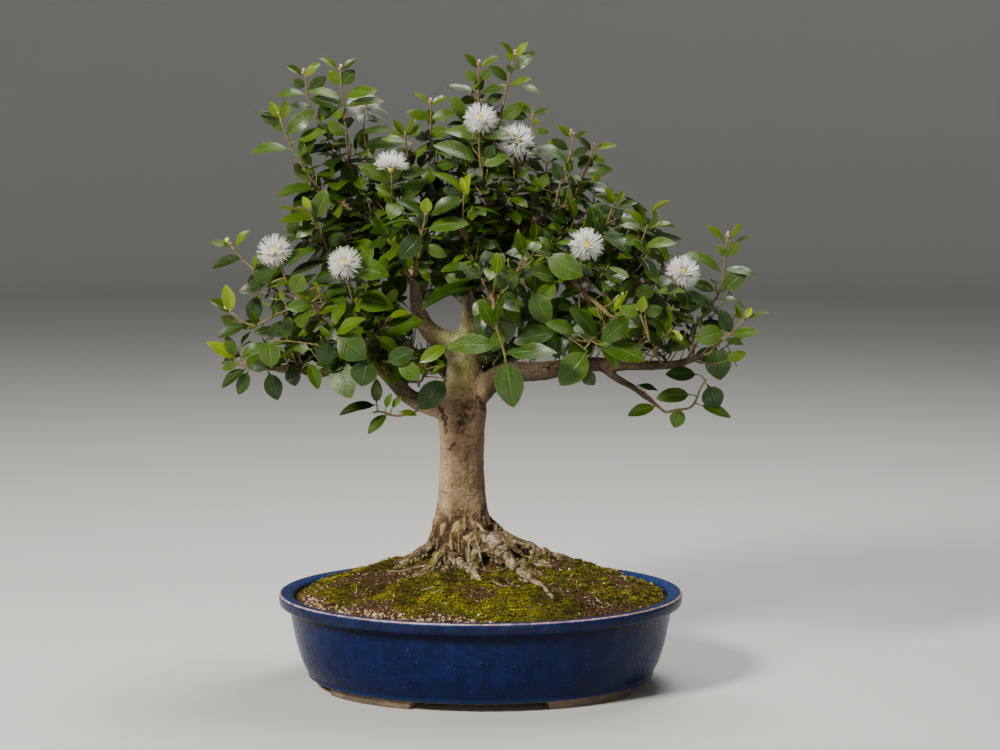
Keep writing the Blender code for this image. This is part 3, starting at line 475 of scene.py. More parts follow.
def new_leaf(stem, distance, foot, ahead, up, length, width, age):
    return {
        "foot": foot, "ahead": ahead, "up": up, "side": ahead.cross(up), "length": length,
        "width": width, "age": age, "stem": stem.name, "piece": stem.piece, "distance": distance,
    }


def leaf_at(stem, distance, age, level, side, habit, change):
    """A leaf of a pair. Young leaves point forward, and old ones spread and droop."""
    own_spread, own_roll, own_size = habit
    spread, roll, size = change
    heading, *square = stem.frame_at(distance)
    across = square[level] * side
    angle = math.radians(34 + 38 * age + spread + own_spread)
    ahead = heading * math.cos(angle) + across * math.sin(angle)
    ahead = (ahead + Vector((0, 0, -0.32 * age))).normalized()
    if ahead.dot(across) < 0.45:
        ahead = (ahead + across * (0.55 - ahead.dot(across))).normalized()
    place = stem.on_spine(distance)
    outward = (place - CROWN_MIDDLE).normalized()
    up = heading * 0.4 + Vector((0, 0, 0.55)) + outward * (0.35 + 0.5 * age)
    up = (up - ahead * up.dot(ahead)).normalized()
    up = Matrix.Rotation(math.radians(roll + own_roll), 3, ahead) @ up
    length = (17 + 17 * age) * own_size * size
    surface = TWIG_RADIUS * math.sqrt(0.5) / ahead.dot(across)
    foot = place + ahead * (surface - 1.0)
    return new_leaf(stem, distance, foot, ahead, up, length, length * (0.42 + 0.14 * age), age)


# What a leaf with no room tries in turn: more spread and roll, in degrees, and another size.
CHANGES = [
    (0, 0, 1.0), (12, 0, 1.0), (-12, 0, 1.0), (0, 28, 1.0), (0, -28, 1.0), (18, 30, 0.9),
    (-18, -30, 0.9), (26, 0, 0.8), (-24, 20, 0.75), (0, 70, 0.75),
]


def crosses(corners, faces, tree):
    return tree is not None and bool(BVHTree.FromPolygons(corners, faces).overlap(tree))


def tree_of(shells):
    corners = []
    faces = []
    for more, sides in shells:
        faces += [tuple(i + len(corners) for i in face) for face in sides]
        corners += more
    return BVHTree.FromPolygons(corners, faces) if faces else None


def ball_shell(centre, radius):
    ball = bmesh.new()
    bmesh.ops.create_icosphere(ball, subdivisions=2, radius=radius)
    ball.verts.index_update()
    corners = [vert.co + centre for vert in ball.verts]
    faces = [tuple(vert.index for vert in face.verts) for face in ball.faces]
    ball.free()
    return corners, faces


def leaf_age(stem, last, distance):
    """The age of a pair of leaves this far along a stem whose last pair is at the given mark."""
    return min(1.0, (0.5 if stem.bloom else 0.12) + (last - distance) / 34.0)


def leaf_marks(stem, leaves):
    return sorted({leaf["distance"] for leaf in leaves if leaf["stem"] == stem.name})


def lay_out_leaves(stems):
    """Leaves in pairs, each pair a quarter turn from the last.

    A leaf that would cross another piece is bent clear, and one with no room isn't grown.
    """
    shells = {}
    for stem in stems.values():
        radii = [stem.radius(mark) + GAP for mark in stem.spine_marks()]
        shells.setdefault(stem.piece, []).append((stem.name, tube_shell(stem.spine(), radii)))
        if stem.bloom:
            shells["bloom_" + stem.name] = [("bloom", ball_shell(stem.bloom, BLOOM_RADIUS + 0.6))]
    leaves = []
    for stem in stems.values():
        draw = random.Random(stem.name)
        others = tree_of([
            shell for piece, group in shells.items() if piece != stem.piece for _, shell in group
        ])
        last = stem.end - (11.0 if stem.bloom else 1.5)
        leafy = min(PAIR_SPACING * (stem.pairs - 1), last - stem.start - 7.0)
        for k in range(stem.pairs):
            distance = last - leafy * k / max(stem.pairs - 1, 1)
            age = leaf_age(stem, last, distance)
            for side in (-1, 1):
                habit = (draw.uniform(-7, 7), draw.uniform(-16, 16), draw.uniform(0.9, 1.15))
                mine = tree_of([shell for label, shell in shells[stem.piece] if label != stem.name])
                for change in CHANGES:
                    leaf = leaf_at(stem, distance, age, k % 2, side, habit, change)
                    if crosses(leaf_corners(leaf, 0.3), LEAF_FACES, others):
                        continue
                    if crosses(leaf_corners(leaf, 0.1, 0.15), LEAF_FACES, mine):
                        continue
                    leaves.append(leaf)
                    shell = (leaf_corners(leaf, 0.15, 0.12), LEAF_FACES)
                    shells[stem.piece].append(("leaf", shell))
                    break
    return leaves


# Leafy twigs that grow between the shoots: which part of a stem carries them, as shares of its
# length, how far apart they leave it, and how long they are, in mm.
LIMB_TWIGS = {
    "trunk": (0.0, 0.0, 99.0, 0.0),
    "left_leader": (0.42, 1.0, 8.0, 30.0),
    "left_leader_b": (0.1, 1.0, 7.0, 26.0),
    "right_leader": (0.36, 1.0, 7.5, 32.0),
    "back_leader": (0.15, 1.0, 7.0, 30.0),
    "centre": (0.1, 1.0, 6.5, 28.0),
    "right_limb": (0.42, 1.0, 8.0, 30.0),
    "right_fork": (0.55, 1.0, 9.0, 20.0),
    "left_limb": (0.42, 1.0, 8.0, 28.0),
    "left_mid": (0.25, 1.0, 7.0, 26.0),
}
BRANCH_TWIGS = (0.22, 1.0, 7.0, 28.0)
SHOOT_TWIGS = (0.08, 0.6, 15.0, 20.0)
# Three rounds of twigs: the name of each, how close they stand and how long they are, as shares
# of those above, the smallest and the largest size of their leaves, and the space that a leaf
# needs, in mm.
TWIG_ROUNDS = [
    ("twigs ", 1.0, 1.0, 0.62, 0.95, 5.0),
    ("finer twigs ", 0.75, 0.8, 0.5, 0.78, 3.6),
    ("finest twigs ", 0.7, 0.6, 0.42, 0.66, 3.0),
]
GOLDEN_TURN = math.radians(137.5)
# The crown's edges from the front, x and z where the line of sight meets the trunk's plane.
CROWN_BOTTOM = [
    (-218, 268), (-195, 243), (-125, 252), (-112, 240), (-62, 230), (-40, 238), (10, 244),
    (34, 258), (108, 263), (172, 263), (182, 238), (195, 238), (218, 276),
]
CROWN_TOP = [
    (-215, 300), (-168, 330), (-150, 400), (-140, 468), (-95, 474), (-60, 440), (-40, 455),
    (-5, 482), (35, 488), (50, 452), (80, 432), (105, 416), (115, 386), (150, 356), (190, 332),
    (218, 292),
]
# Round openings in the front of the crown, through which its limbs are seen: x, z and radius.
WINDOWS = [
    (-28, 292, 14.0), (-47, 273, 9.5), (-53, 304, 6.5), (-54, 316, 6.0), (-56, 328, 5.5),
    (-10, 300, 6.0),
]
TRUNK_VIEW = (-36, 8, 252)  # left, right and top of the bare trunk as seen from the front
CELL_SIZE = 5.0  # of the cells that places on leaves are sorted into

# The camera: where it stands, in metres, and how far it looks down, in degrees.
EYE = Vector((0.0153, -2.0, 0.458))
LOOK_DOWN = 6.06
LENS = 91.9

# Leaf blades: faces along and across a blade, the share that is its stalk, and its real thickness
# as a share of its length.
LEAF_ALONG = 8
LEAF_ACROSS = 4
STALK = 0.08
BLADE_THICKNESS = 0.016
LEAF_FORMS = 7  # different curls and folds of each kind of leaf

# Shoots that end in grown leaves.
GROWN_ENDS = (
    "front_left_low", "right_inner", "left_inner", "pendant_right", "right_under", "right_mid_tip",
    "pendant", "left_centre", "trunk_left",
)

# How the photograph was taken: its focal length and the middle of its view in pixels, how far
# the camera stands from the trunk's plane and how high, in metres, and how far it looks down, in
# radians.
PHOTO_FOCUS = 2552.0
PHOTO_MIDDLE = (480.5, 375.0)
PHOTO_DISTANCE = 2.0
PHOTO_HEIGHT = 0.458
PHOTO_DOWN = 0.1058
MM_PER_PIXEL = 0.7836
THINNEST_LEAF = 3  # mm

# Leaves that stand out from the front, by the stem that carries them: the pixels of the photograph
# where the foot and the tip are seen, how many pixels wide the leaf looks, and its age.
LEAVES_IN_PHOTO = {
    "upper_left_inner": [
        (339, 71, 320, 58, 6, .3), (342, 70, 357, 59, 7, .3), (340, 84, 329, 71, 12, .5),
        (341, 84, 355, 71, 14, .5), (342, 99, 310, 88, 9, .6), (344, 97, 377, 88, 11, .65),
        (343, 106, 311, 98, 11, .75), (345, 107, 383, 97, 8, .6), (345, 136, 328, 121, 13, .7),
    ],
    "upper_left_mid": [
        (303, 76, 286, 65, 6, .3), (305, 77, 320, 63, 8, .3), (306, 87, 293, 79, 10, .4),
        (309, 90, 326, 77, 12, .5), (307, 95, 276, 92, 7, .7), (312, 108, 290, 104, 6, .7),
        (317, 116, 332, 104, 11, .7),
    ],
    "upper_left_outer": [
        (281, 121, 270, 101, 9, .15), (283, 121, 287, 100, 11, .2), (281, 124, 261, 113, 11, .5),
        (280, 118, 255, 111, 4, .6), (283, 131, 273, 125, 7, .5), (286, 135, 313, 110, 16, .75),
        (297, 141, 325, 130, 12, .8), (290, 149, 251, 149, 9, .8), (315, 187, 276, 193, 11, .9),
    ],
    "upper_left_low": [
        (311, 209, 303, 197, 8, .15), (316, 219, 326, 189, 17, .9), (313, 217, 279, 220, 8, .6),
        (317, 225, 295, 236, 10, .7), (370, 221, 321, 221, 8, .8), (320, 243, 318, 228, 8, .4),
        (326, 245, 344, 233, 12, .6), (322, 247, 285, 263, 8, .8), (328, 260, 289, 273, 8, .85),
    ],
    "upper_left_flowering": [
        (360, 116, 384, 121, 8, .7), (357, 147, 412, 141, 13, .9), (357, 134, 397, 127, 8, .85),
        (361, 109, 388, 111, 4, .6),
    ],
    "centre_left_flowering": [
        (392, 173, 391, 161, 13, .9), (398, 176, 425, 169, 12, .6), (391, 182, 360, 163, 14, .75),
        (396, 199, 377, 185, 8, .5),
    ],
    "centre_left": [
        (405, 136, 393, 119, 8, .25), (407, 135, 415, 118, 7, .25), (404, 138, 390, 133, 5, .3),
        (410, 138, 421, 125, 9, .5), (405, 141, 382, 137, 6, .5),
    ],
    "top_left": [
        (430, 105, 414, 92, 5, .3), (431, 105, 447, 96, 6, .3), (430, 119, 407, 111, 10, .5),
        (431, 119, 455, 112, 10, .5), (430, 140, 412, 132, 10, .7), (431, 137, 446, 127, 13, .6),
    ],
    "top_centre": [
        (478, 69, 464, 53, 6, .3), (480, 68, 498, 56, 6, .3), (478, 81, 465, 72, 10, .5),
        (480, 80, 491, 71, 9, .5), (477, 94, 446, 83, 8, .7), (481, 94, 507, 84, 9, .7),
        (485, 101, 502, 95, 9, .6), (467, 119, 451, 96, 14, .8),
    ],
    "top": [
        (514, 57, 501, 42, 5, .25), (515, 57, 528, 42, 8, .2), (515, 60, 506, 53, 6, .3),
        (514, 71, 534, 51, 11, .4), (513, 73, 507, 65, 7, .4), (509, 82, 490, 65, 9, .5),
        (510, 86, 531, 77, 7, .5), (512, 86, 545, 91, 4, .7), (501, 120, 523, 104, 14, .8),
    ],
    "top_flowering": [
        (479, 139, 446, 128, 11, .7), (481, 137, 518, 133, 9, .8), (479, 162, 436, 141, 13, .65),
        (482, 166, 509, 155, 12, .7), (484, 158, 494, 145, 10, .8),
    ],
    "centre_front": [
        (465, 195, 435, 172, 8, .3), (466, 196, 469, 175, 7, .1), (465, 192, 461, 177, 6, .2),
        (464, 197, 443, 189, 11, .8), (464, 200, 431, 212, 12, .6), (487, 283, 420, 301, 13, .95),
    ],
    "top_right": [
        (531, 114, 519, 100, 7, .4), (533, 114, 551, 109, 6, .4), (529, 118, 503, 111, 12, .8),
        (533, 118, 538, 124, 6, .3), (535, 130, 548, 132, 8, .5),
    ],
    "top_right_flowering": [
        (511, 193, 487, 185, 8, .35), (514, 193, 541, 190, 6, .35), (514, 176, 528, 168, 10, .7),
    ],
    "right_upper": [
        (570, 138, 559, 125, 6, .3), (573, 137, 590, 132, 5, .3), (569, 150, 552, 139, 9, .6),
        (571, 157, 588, 148, 9, .6), (563, 182, 553, 162, 12, .8), (540, 189, 547, 173, 10, .4),
        (540, 189, 529, 174, 8, .4),
    ],
    "right_upper_outer": [
        (592, 151, 577, 135, 7, .4), (594, 149, 616, 145, 6, .35), (592, 156, 605, 162, 9, .7),
        (586, 173, 612, 168, 11, .7), (583, 187, 613, 187, 10, .85),
    ],
    "right_shoulder": [
        (616, 205, 604, 188, 8, .3), (617, 204, 624, 190, 6, .25), (616, 208, 637, 201, 6, .4),
        (613, 204, 594, 195, 6, .4), (611, 213, 599, 205, 9, .7), (612, 217, 624, 211, 9, .6),
    ],
    "right_shoulder_low": [
        (645, 230, 626, 208, 8, .3), (648, 228, 661, 218, 8, .25), (650, 227, 670, 221, 5, .4),
        (643, 229, 620, 223, 5, .4), (642, 248, 676, 240, 9, .7),
    ],
    "right_high": [
        (726, 242, 705, 225, 7, .3), (729, 240, 743, 222, 7, .3), (727, 257, 739, 242, 10, .5),
        (725, 257, 718, 245, 8, .5), (735, 242, 752, 235, 4, .5), (721, 272, 688, 250, 10, .8),
        (722, 291, 745, 269, 18, .85), (724, 269, 757, 272, 8, .8), (716, 291, 692, 282, 10, .8),
        (716, 300, 742, 299, 4, .8),
    ],
    "right_tip": [
        (741, 319, 735, 303, 7, .3), (745, 318, 752, 308, 6, .15), (746, 320, 769, 313, 5, .35),
        (731, 335, 759, 330, 10, .6), (725, 341, 744, 343, 6, .6), (731, 334, 721, 310, 14, .7),
        (725, 331, 697, 339, 20, .85), (716, 347, 720, 379, 25, 1.0),
    ],
    "right_fork_tip": [
        (698, 375, 666, 373, 14, .95), (707, 385, 718, 408, 22, .95), (657, 406, 628, 414, 12, .8),
        (681, 408, 674, 428, 15, .8), (700, 405, 731, 416, 10, .8), (691, 395, 657, 396, 15, 1.0),
        (636, 384, 658, 390, 6, .9),
    ],
    "pendant": [
        (505, 359, 513, 407, 27, 1.0), (500, 346, 448, 344, 18, .95), (507, 354, 557, 351, 15, .9),
        (495, 328, 504, 291, 8, .7), (493, 329, 481, 300, 13, .85),
    ],
    "pendant_right": [
        (587, 350, 560, 384, 27, .95), (596, 341, 645, 359, 21, .9), (597, 338, 573, 307, 15, .95),
        (577, 334, 547, 322, 12, .95), (558, 332, 513, 341, 18, 1.0),
    ],
    "right_inner": [(582, 371, 595, 385, 14, 1.0)],
    "right_mid_long": [
        (546, 256, 583, 276, 24, .95), (521, 272, 492, 290, 20, .95), (531, 291, 549, 324, 22, .95),
        (531, 268, 544, 256, 4, .3),
    ],
    "right_mid_tip": [
        (612, 312, 627, 291, 9, .25), (610, 312, 605, 295, 8, .25), (612, 316, 641, 303, 10, .5),
        (608, 316, 589, 309, 9, .5),
    ],
    "right_middle_flowering": [(583, 290, 608, 311, 13, .8), (584, 288, 560, 296, 10, .8)],
    "right_under": [
        (641, 314, 643, 296, 10, .1), (645, 315, 662, 308, 12, .5), (640, 315, 619, 308, 11, .5),
    ],
    "centre_lime": [
        (426, 216, 398, 200, 9, .35), (429, 215, 461, 197, 11, .4), (426, 214, 427, 198, 11, .1),
        (427, 229, 468, 221, 14, .75), (422, 233, 400, 258, 20, .85), (424, 245, 446, 256, 12, .9),
    ],
    "front_left_low": [
        (446, 379, 419, 408, 24, .95), (387, 362, 413, 350, 18, .95), (398, 361, 420, 380, 16, .8),
        (448, 346, 420, 362, 13, .35), (447, 366, 431, 373, 5, .4),
    ],
    "left_inner": [
        (337, 335, 365, 358, 27, .7), (366, 359, 361, 386, 25, 1.0), (427, 320, 381, 330, 15, .95),
        (331, 338, 319, 327, 7, .3), (334, 336, 362, 315, 9, .5),
    ],
    "left_lime": [
        (314, 303, 315, 280, 11, .1), (311, 302, 293, 289, 8, .15), (293, 293, 302, 274, 18, .85),
        (312, 304, 286, 307, 13, .85), (352, 284, 320, 296, 10, .85), (346, 282, 314, 277, 9, .75),
        (283, 338, 290, 317, 13, .9), (268, 338, 281, 322, 10, .8), (299, 336, 321, 320, 9, .85),
    ],
    "left_flowering": [
        (272, 283, 253, 265, 18, .75), (252, 268, 261, 251, 7, .6), (267, 284, 239, 291, 11, .75),
    ],
    "left_high": [
        (232, 246, 207, 243, 6, .3), (236, 248, 250, 230, 7, .3), (243, 258, 211, 266, 10, .7),
    ],
    "left_yellow": [
        (231, 312, 210, 299, 9, .25), (231, 312, 226, 285, 13, .25), (246, 325, 217, 335, 10, .8),
        (251, 323, 257, 297, 16, .85), (258, 328, 253, 310, 6, .5),
    ],
    "left_low": [
        (236, 359, 207, 342, 11, .2), (236, 358, 226, 335, 12, .4), (239, 362, 221, 369, 9, .7),
        (247, 368, 221, 386, 9, .8), (248, 371, 238, 395, 13, .85), (269, 372, 278, 400, 18, .95),
        (240, 358, 263, 342, 10, .75),
    ],
    "left_centre": [(268, 340, 271, 367, 21, .95), (327, 341, 324, 365, 19, 1.0)],
    "left_under": [(290, 366, 295, 386, 15, 1.0), (308, 362, 320, 389, 13, 1.0)],
    "trunk_left": [
        (376, 405, 339, 411, 10, .9), (388, 413, 366, 433, 10, .9), (377, 403, 376, 380, 11, .6),
        (392, 409, 401, 396, 6, .4), (400, 411, 417, 415, 7, .5), (385, 408, 391, 394, 6, .5),
    ],
}


def in_trunk_plane(across, down):
    """x and z in mm where the line of sight through a pixel meets the trunk's plane."""
    cosine, sine = math.cos(PHOTO_DOWN), math.sin(PHOTO_DOWN)
    aside = (across - PHOTO_MIDDLE[0]) / PHOTO_FOCUS
    rise = (PHOTO_MIDDLE[1] - down) / PHOTO_FOCUS
    depth = PHOTO_DISTANCE / (cosine + rise * sine)
    height = PHOTO_HEIGHT + rise * depth * cosine - depth * sine
    return round(aside * depth * 1000), round(height * 1000)


def leaves_in_mm():
    """Foot, tip, width and age of each leaf in the table, as x and z in the trunk's plane."""
    found = {}
    for stem, leaves in LEAVES_IN_PHOTO.items():
        found[stem] = []
        for foot_x, foot_y, tip_x, tip_y, width, age in leaves:
            foot, tip = in_trunk_plane(foot_x, foot_y), in_trunk_plane(tip_x, tip_y)
            width = max(THINNEST_LEAF, round(width * MM_PER_PIXEL))
            found[stem].append((*foot, *tip, width, age))
    return found


SEEN_LEAVES = leaves_in_mm()
# How much of these shoots is drawn: the leaves at their ends hide the rest.
SHORTER = {
    "right_inner": 0.4, "left_under": 0.3, "trunk_left": 0.78, "pendant": 0.78,
    "pendant_right": 0.76, "left_low": 0.75, "left_lime": 0.5, "right_mid_tip": 0.4,
    "centre_front": 0.88, "centre_left": 0.84, "left_centre": 0.7,
}

# Shoots that go on beyond the leaves in the table. The others end at the last of those.
BARE_ENDS = ("right_mid_long", "top_right", "right_inner", *SHORTER)

STAMENS = 400
# Where a bloom faces, if not to the front, and how far its stamens spread from there, in degrees.
BLOOM_AIMS = {"centre_left_flowering": (Vector((0.1, 0.25, 1.0)), 84.0)}
BUD_RADIUS = 1.15
# Flower buds that are nearly open are larger and yellow.
YELLOW_BUDS = {"left_yellow": 2.9, "left_high": 2.1}


def between_points(line, x):
    """Height of a line of points at x."""
    for (x0, z0), (x1, z1) in zip(line, line[1:]):
        if x <= x1:
            return z0 + (z1 - z0) * max(x - x0, 0.0) / (x1 - x0)
    return line[-1][1]


def seen_from_front(place):
    """Where the line of sight through a place meets the trunk's plane, as x and z."""
    eye = EYE / MM
    reach = -eye.y / (place.y - eye.y)
    return eye.x + (place.x - eye.x) * reach, eye.z + (place.z - eye.z) * reach


def smoothstep(low, high, value):
    share = min(max((value - low) / (high - low), 0.0), 1.0)
    return share * share * (3.0 - 2.0 * share)


def drawn(leaf):
    """The leaf with its face turned towards the light in front. Young pairs open a little more."""
    age = leaf["age"]
    length = leaf["length"]
    if leaf["stem"] in GROWN_ENDS and age < 0.6:
        age = 0.45 + 0.3 * age
        length *= 1.12
    opening = math.radians(17.0) * (1.0 - smoothstep(0.2, 0.6, leaf["age"]))
    ahead = leaf["ahead"] * math.cos(opening) - leaf["up"] * math.sin(opening)
    if leaf["stem"] in GROWN_ENDS:
        ahead = (ahead + Vector((0.0, 0.0, -0.5))).normalized()
    up = leaf["up"] * math.cos(opening) + leaf["ahead"] * math.sin(opening)
    up = up + Vector((0.0, -0.36, 0.3)) * smoothstep(50.0, 0.0, leaf["foot"].y)
    up = (up - ahead * up.dot(ahead)).normalized()
    width = leaf["width"] * (0.86 + 0.22 * smoothstep(0.2, 0.6, age))
    return {
        **leaf, "ahead": ahead, "up": up, "side": ahead.cross(up), "age": age, "length": length,
        "width": width,
    }


def on_sight_line(x, z, y):
    """The place at this depth that is seen at x and z in the trunk's plane."""
    eye = EYE / MM
    return eye + (Vector((x, 0.0, z)) - eye) * ((y - eye.y) / -eye.y)


def seen_leaf(stem, foot_x, foot_z, tip_x, tip_z, width, age):
    """A leaf where it is seen from the front, turned so that it looks as wide as it should."""
    def away(mark):
        x, z = seen_from_front(stem.route.at(mark))
        return math.hypot(x - foot_x, z - foot_z)

    inside = [mark for mark in stem.route.marks if stem.start <= mark <= stem.end]
    distance = min(inside, key=away)
    depth = stem.route.at(distance).y
    foot = on_sight_line(foot_x, foot_z, depth)
    reach = math.hypot(tip_x - foot_x, tip_z - foot_z)
    along = on_sight_line(tip_x, tip_z, depth - 0.2 * reach) - foot
    ahead = along.normalized()
    towards = EYE / MM - foot
    towards = (towards - ahead * towards.dot(ahead)).normalized()
    above = ahead.cross(towards)
    if above.z < 0.0:
        above = -above
    real_width = max(1.04 * width, along.length * (0.4 + 0.1 * age))
    lean = math.acos(min(1.0, 1.04 * width / real_width))
    up = towards * math.cos(lean) + above * math.sin(lean)
    return new_leaf(stem, distance, foot, ahead, up, along.length, real_width, age)


def grow_seen_leaves(stems):
    """The leaves of the table, and short twigs to those that stand off from their stem."""
    leaves = []
    twigs = []
    for name, rows in SEEN_LEAVES.items():
        stem = stems[name]
        for row in rows:
            leaf = seen_leaf(stem, *row)
            leaves.append(leaf)
            near = stem.route.at(leaf["distance"])
            if (leaf["foot"] - near).length > 2.0:
                middle = near.lerp(leaf["foot"], 0.5) + Vector((0.0, 0.8, 0.8))
                way = [near, middle, leaf["foot"]]
                twig = Stem(f"{name}_to_{len(twigs)}", stem.piece, way, 0.8, 0.5)
                twig.ending = "tip"
                twigs.append(twig)
    return leaves, twigs


class Crowd:
    """Keeps new leaves off the grown ones, off the blooms and out of the open views."""

    def __init__(self, blooms, seen):
        self.blooms = blooms
        # Of each leaf that stands out: its middle line from the front, half its width, its depth.
        self.shown = []
        for leaf in seen:
            tip = leaf["foot"] + leaf["ahead"] * leaf["length"]
            ends = [Vector(seen_from_front(place)) for place in (leaf["foot"].lerp(tip, 0.15), tip)]
            facing = abs(leaf["up"].y)
            self.shown.append((*ends, 0.42 * leaf["width"] * facing, max(leaf["foot"].y, tip.y)))
        self.cells = {}
        self.low = cad_low / MM + Vector((2.0, 2.0, 2.0))
        self.high = cad_high / MM - Vector((2.0, 2.0, 2.0))

    def samples(self, leaf):
        ahead = leaf["ahead"] * leaf["length"]
        spread = leaf["side"] * (0.4 * leaf["width"])
        droop = leaf["up"] * (0.09 * leaf["length"])
        foot = leaf["foot"]
        return [
            foot + ahead * 0.35, foot + ahead * 0.5 + spread, foot + ahead * 0.5 - spread,
            foot + ahead * 0.72, foot + ahead - droop,
        ]

    def cell_of(self, place):
        return tuple(int(part // CELL_SIZE) for part in place)

    def add(self, leaf):
        for place in self.samples(leaf):
            self.cells.setdefault(self.cell_of(place), []).append(place)

    def crowded(self, place, clearance):
        near = product(*((part - 1, part, part + 1) for part in self.cell_of(place)))
        others = (other for cell in near for other in self.cells.get(cell, ()))
        return any((other - place).length < clearance for other in others)

    def hides_leaf(self, place, margin=1.0):
        """True where the place is in front of a leaf that stands out."""
        seen = Vector(seen_from_front(place))
        for start, end, half_width, depth in self.shown:
            if place.y > depth + 3.0:
                continue
            line = end - start
            share = min(max((seen - start).dot(line) / line.length_squared, 0.0), 1.0)
            if (seen - start - line * share).length < half_width + margin:
                return True
        return False

    def in_window(self, place):
        x, z = seen_from_front(place)
        return any(math.hypot(x - a, z - b) < radius for a, b, radius in WINDOWS)

    def in_view(self, place):
        """True where the place would hide a bloom, the trunk or a window, or leave the crown."""
        x, z = seen_from_front(place)
        if not between_points(CROWN_BOTTOM, x) < z < between_points(CROWN_TOP, x):
            return True
        left, right, top = TRUNK_VIEW
        if self.in_window(place) or left < x < right and z < top or self.hides_leaf(place):
            return True
        for bloom in self.blooms:
            a, b = seen_from_front(bloom)
            if (place - bloom).length < BLOOM_RADIUS + 1.0:
                return True
            if place.y < bloom.y and math.hypot(x - a, z - b) < BLOOM_RADIUS * 0.9:
                return True
        return False

    def has_room(self, leaf, clearance):
        for place in self.samples(leaf):
            inside = all(a < c < b for a, c, b in zip(self.low, place, self.high))
            if not inside or self.in_view(place) or self.crowded(place, clearance):
                return False
        return True


def twig_growth(stem):
    if stem.name in LIMB_TWIGS:
        return LIMB_TWIGS[stem.name]
    return BRANCH_TWIGS if stem.name in LIMBS else SHOOT_TWIGS


def side_twig(stem, mark, turn, length, number):
    """A short twig that leaves its stem sideways and turns up and outwards."""
    heading = stem.route.heading(mark)
    start = stem.route.at(mark)
    aside = Matrix.Rotation(turn, 3, heading) @ heading.orthogonal().normalized()
    outward = (start - CROWN_MIDDLE).normalized()
    aim = (aside * 0.85 + heading * 0.45 + Vector((0, 0, 0.3)) + outward * 0.3).normalized()
    bend = (aim + Vector((0, 0, 0.45))).normalized()
    middle = start + aim * (length * 0.5)
    way = [start, middle, middle + bend * (length * 0.5)]
    twig = Stem(f"{stem.name}_{number}", stem.piece, way, 0.95, 0.6)
    twig.twist = turn
    twig.ending = "tip"
    return twig


def grow_pairs_between(stems, leaves, crowd):
    """Smaller pairs of leaves between the pairs of every shoot, an eighth of a turn from them."""
    grown = []
    for stem in stems.values():
        marks = leaf_marks(stem, leaves)
        if not marks:
            continue
        draw = random.Random("pairs " + stem.name)
        route = stem.route
        way = [route.at(mark) for mark in route.marks[::4]] + [route.at(route.length)]
        between = Stem(stem.name, stem.piece, way, stem.first, stem.last)
        between.start = stem.start
        between.end = stem.end
        between.joints = list(stem.spine_marks())
        between.twist = stem.twist + math.radians(45)
        last = marks[-1]
        places = [(a + b) / 2 for a, b in zip(marks, marks[1:])]
        lowest = marks[0]
        while lowest - 8.0 > stem.start + 9.0:
            lowest -= 8.0
            places.append(lowest)
        for number, distance in enumerate(sorted(places, reverse=True)):
            age = leaf_age(stem, last, distance)
            for side in (-1, 1):
                habit = (draw.uniform(-9, 9), draw.uniform(-18, 18), draw.uniform(0.72, 0.98))
                for change in CHANGES[:6]:
                    leaf = drawn(leaf_at(between, distance, age, number % 2, side, habit, change))
                    if crowd.has_room(leaf, 3.2):
                        crowd.add(leaf)
                        grown.append(leaf)
                        break
    return grown


def grow_side_twigs(stems, crowd, seed, closeness, share, smallest, largest, clearance):
    """The twigs between the shoots, and the leaves on them that have room."""
    twigs = []
    grown = []
    for stem in stems.values():
        first, last, spacing, usual_length = twig_growth(stem)
        draw = random.Random(seed + stem.name)
        turn = draw.uniform(0.0, math.tau)
        mark = max(first * stem.route.length, stem.start + 4.0)
        while mark < min(last * stem.route.length, stem.end - 2.0):
            length = usual_length * share * draw.uniform(0.6, 1.25)
            twig = side_twig(stem, mark, turn, length, f"{seed}{len(twigs)}")
            pairs = 1 + int(length > 14.0) + int(length > 24.0)
            gap = min(10.0, (length - 6.0) / pairs)
            own = []
            for k in range(pairs):
                distance = twig.end - 1.0 - k * gap
                for side in (-1, 1):
                    size = draw.uniform(smallest, largest)
                    habit = (draw.uniform(-12, 12), draw.uniform(-30, 30), size)
                    age = min(1.0, 0.3 * draw.random() + 0.45 + k * 0.25)
                    leaf = drawn(leaf_at(twig, distance, age, k % 2, side, habit, (0, 0, 1.0)))
                    if crowd.has_room(leaf, clearance):
                        own.append(leaf)
            if own:
                for leaf in own:
                    crowd.add(leaf)
                twigs.append(twig)
                grown += own
            turn += GOLDEN_TURN
            mark += spacing * closeness * draw.uniform(0.75, 1.25)
    return twigs, grown


def add_object(name, data):
    made = bpy.data.objects.new(name, data)
    bpy.context.scene.collection.objects.link(made)
    return made


def mesh_from(name, shape):
    """A mesh from a bmesh, which it frees."""
    bmesh.ops.recalc_face_normals(shape, faces=shape.faces)
    mesh = bpy.data.meshes.new(name)
    shape.to_mesh(mesh)
    shape.free()
    return mesh


def object_from(name, shape, materials):
    """A smooth object in metres from a bmesh in millimetres."""
    made = add_object(name, mesh_from(name, shape))
    made.data.transform(Matrix.Scale(MM, 4))
    for each in materials:
        made.data.materials.append(each)
    made.data.shade_smooth()
    return made


def take_in(shape, mesh):
    """Adds a mesh to the shape and frees it."""
    shape.from_mesh(mesh)
    bpy.data.meshes.remove(mesh)


def use_material(mesh, number):
    mesh.polygons.foreach_set("material_index", [number] * len(mesh.polygons))


def add_values(shape):
    """The two values that colour leaves, twigs, moss and stones."""
    for name in ("age", "tone"):
        shape.verts.layers.float.new(name)


def draw_out(shape, edges):
    """Extrudes open edges, and returns the new corners and the new open edges."""
    made = bmesh.ops.extrude_edge_only(shape, edges=edges)["geom"]
    corners = [item for item in made if isinstance(item, bmesh.types.BMVert)]
    rim = [item for item in made if isinstance(item, bmesh.types.BMEdge) and item.is_boundary]
    return corners, rim


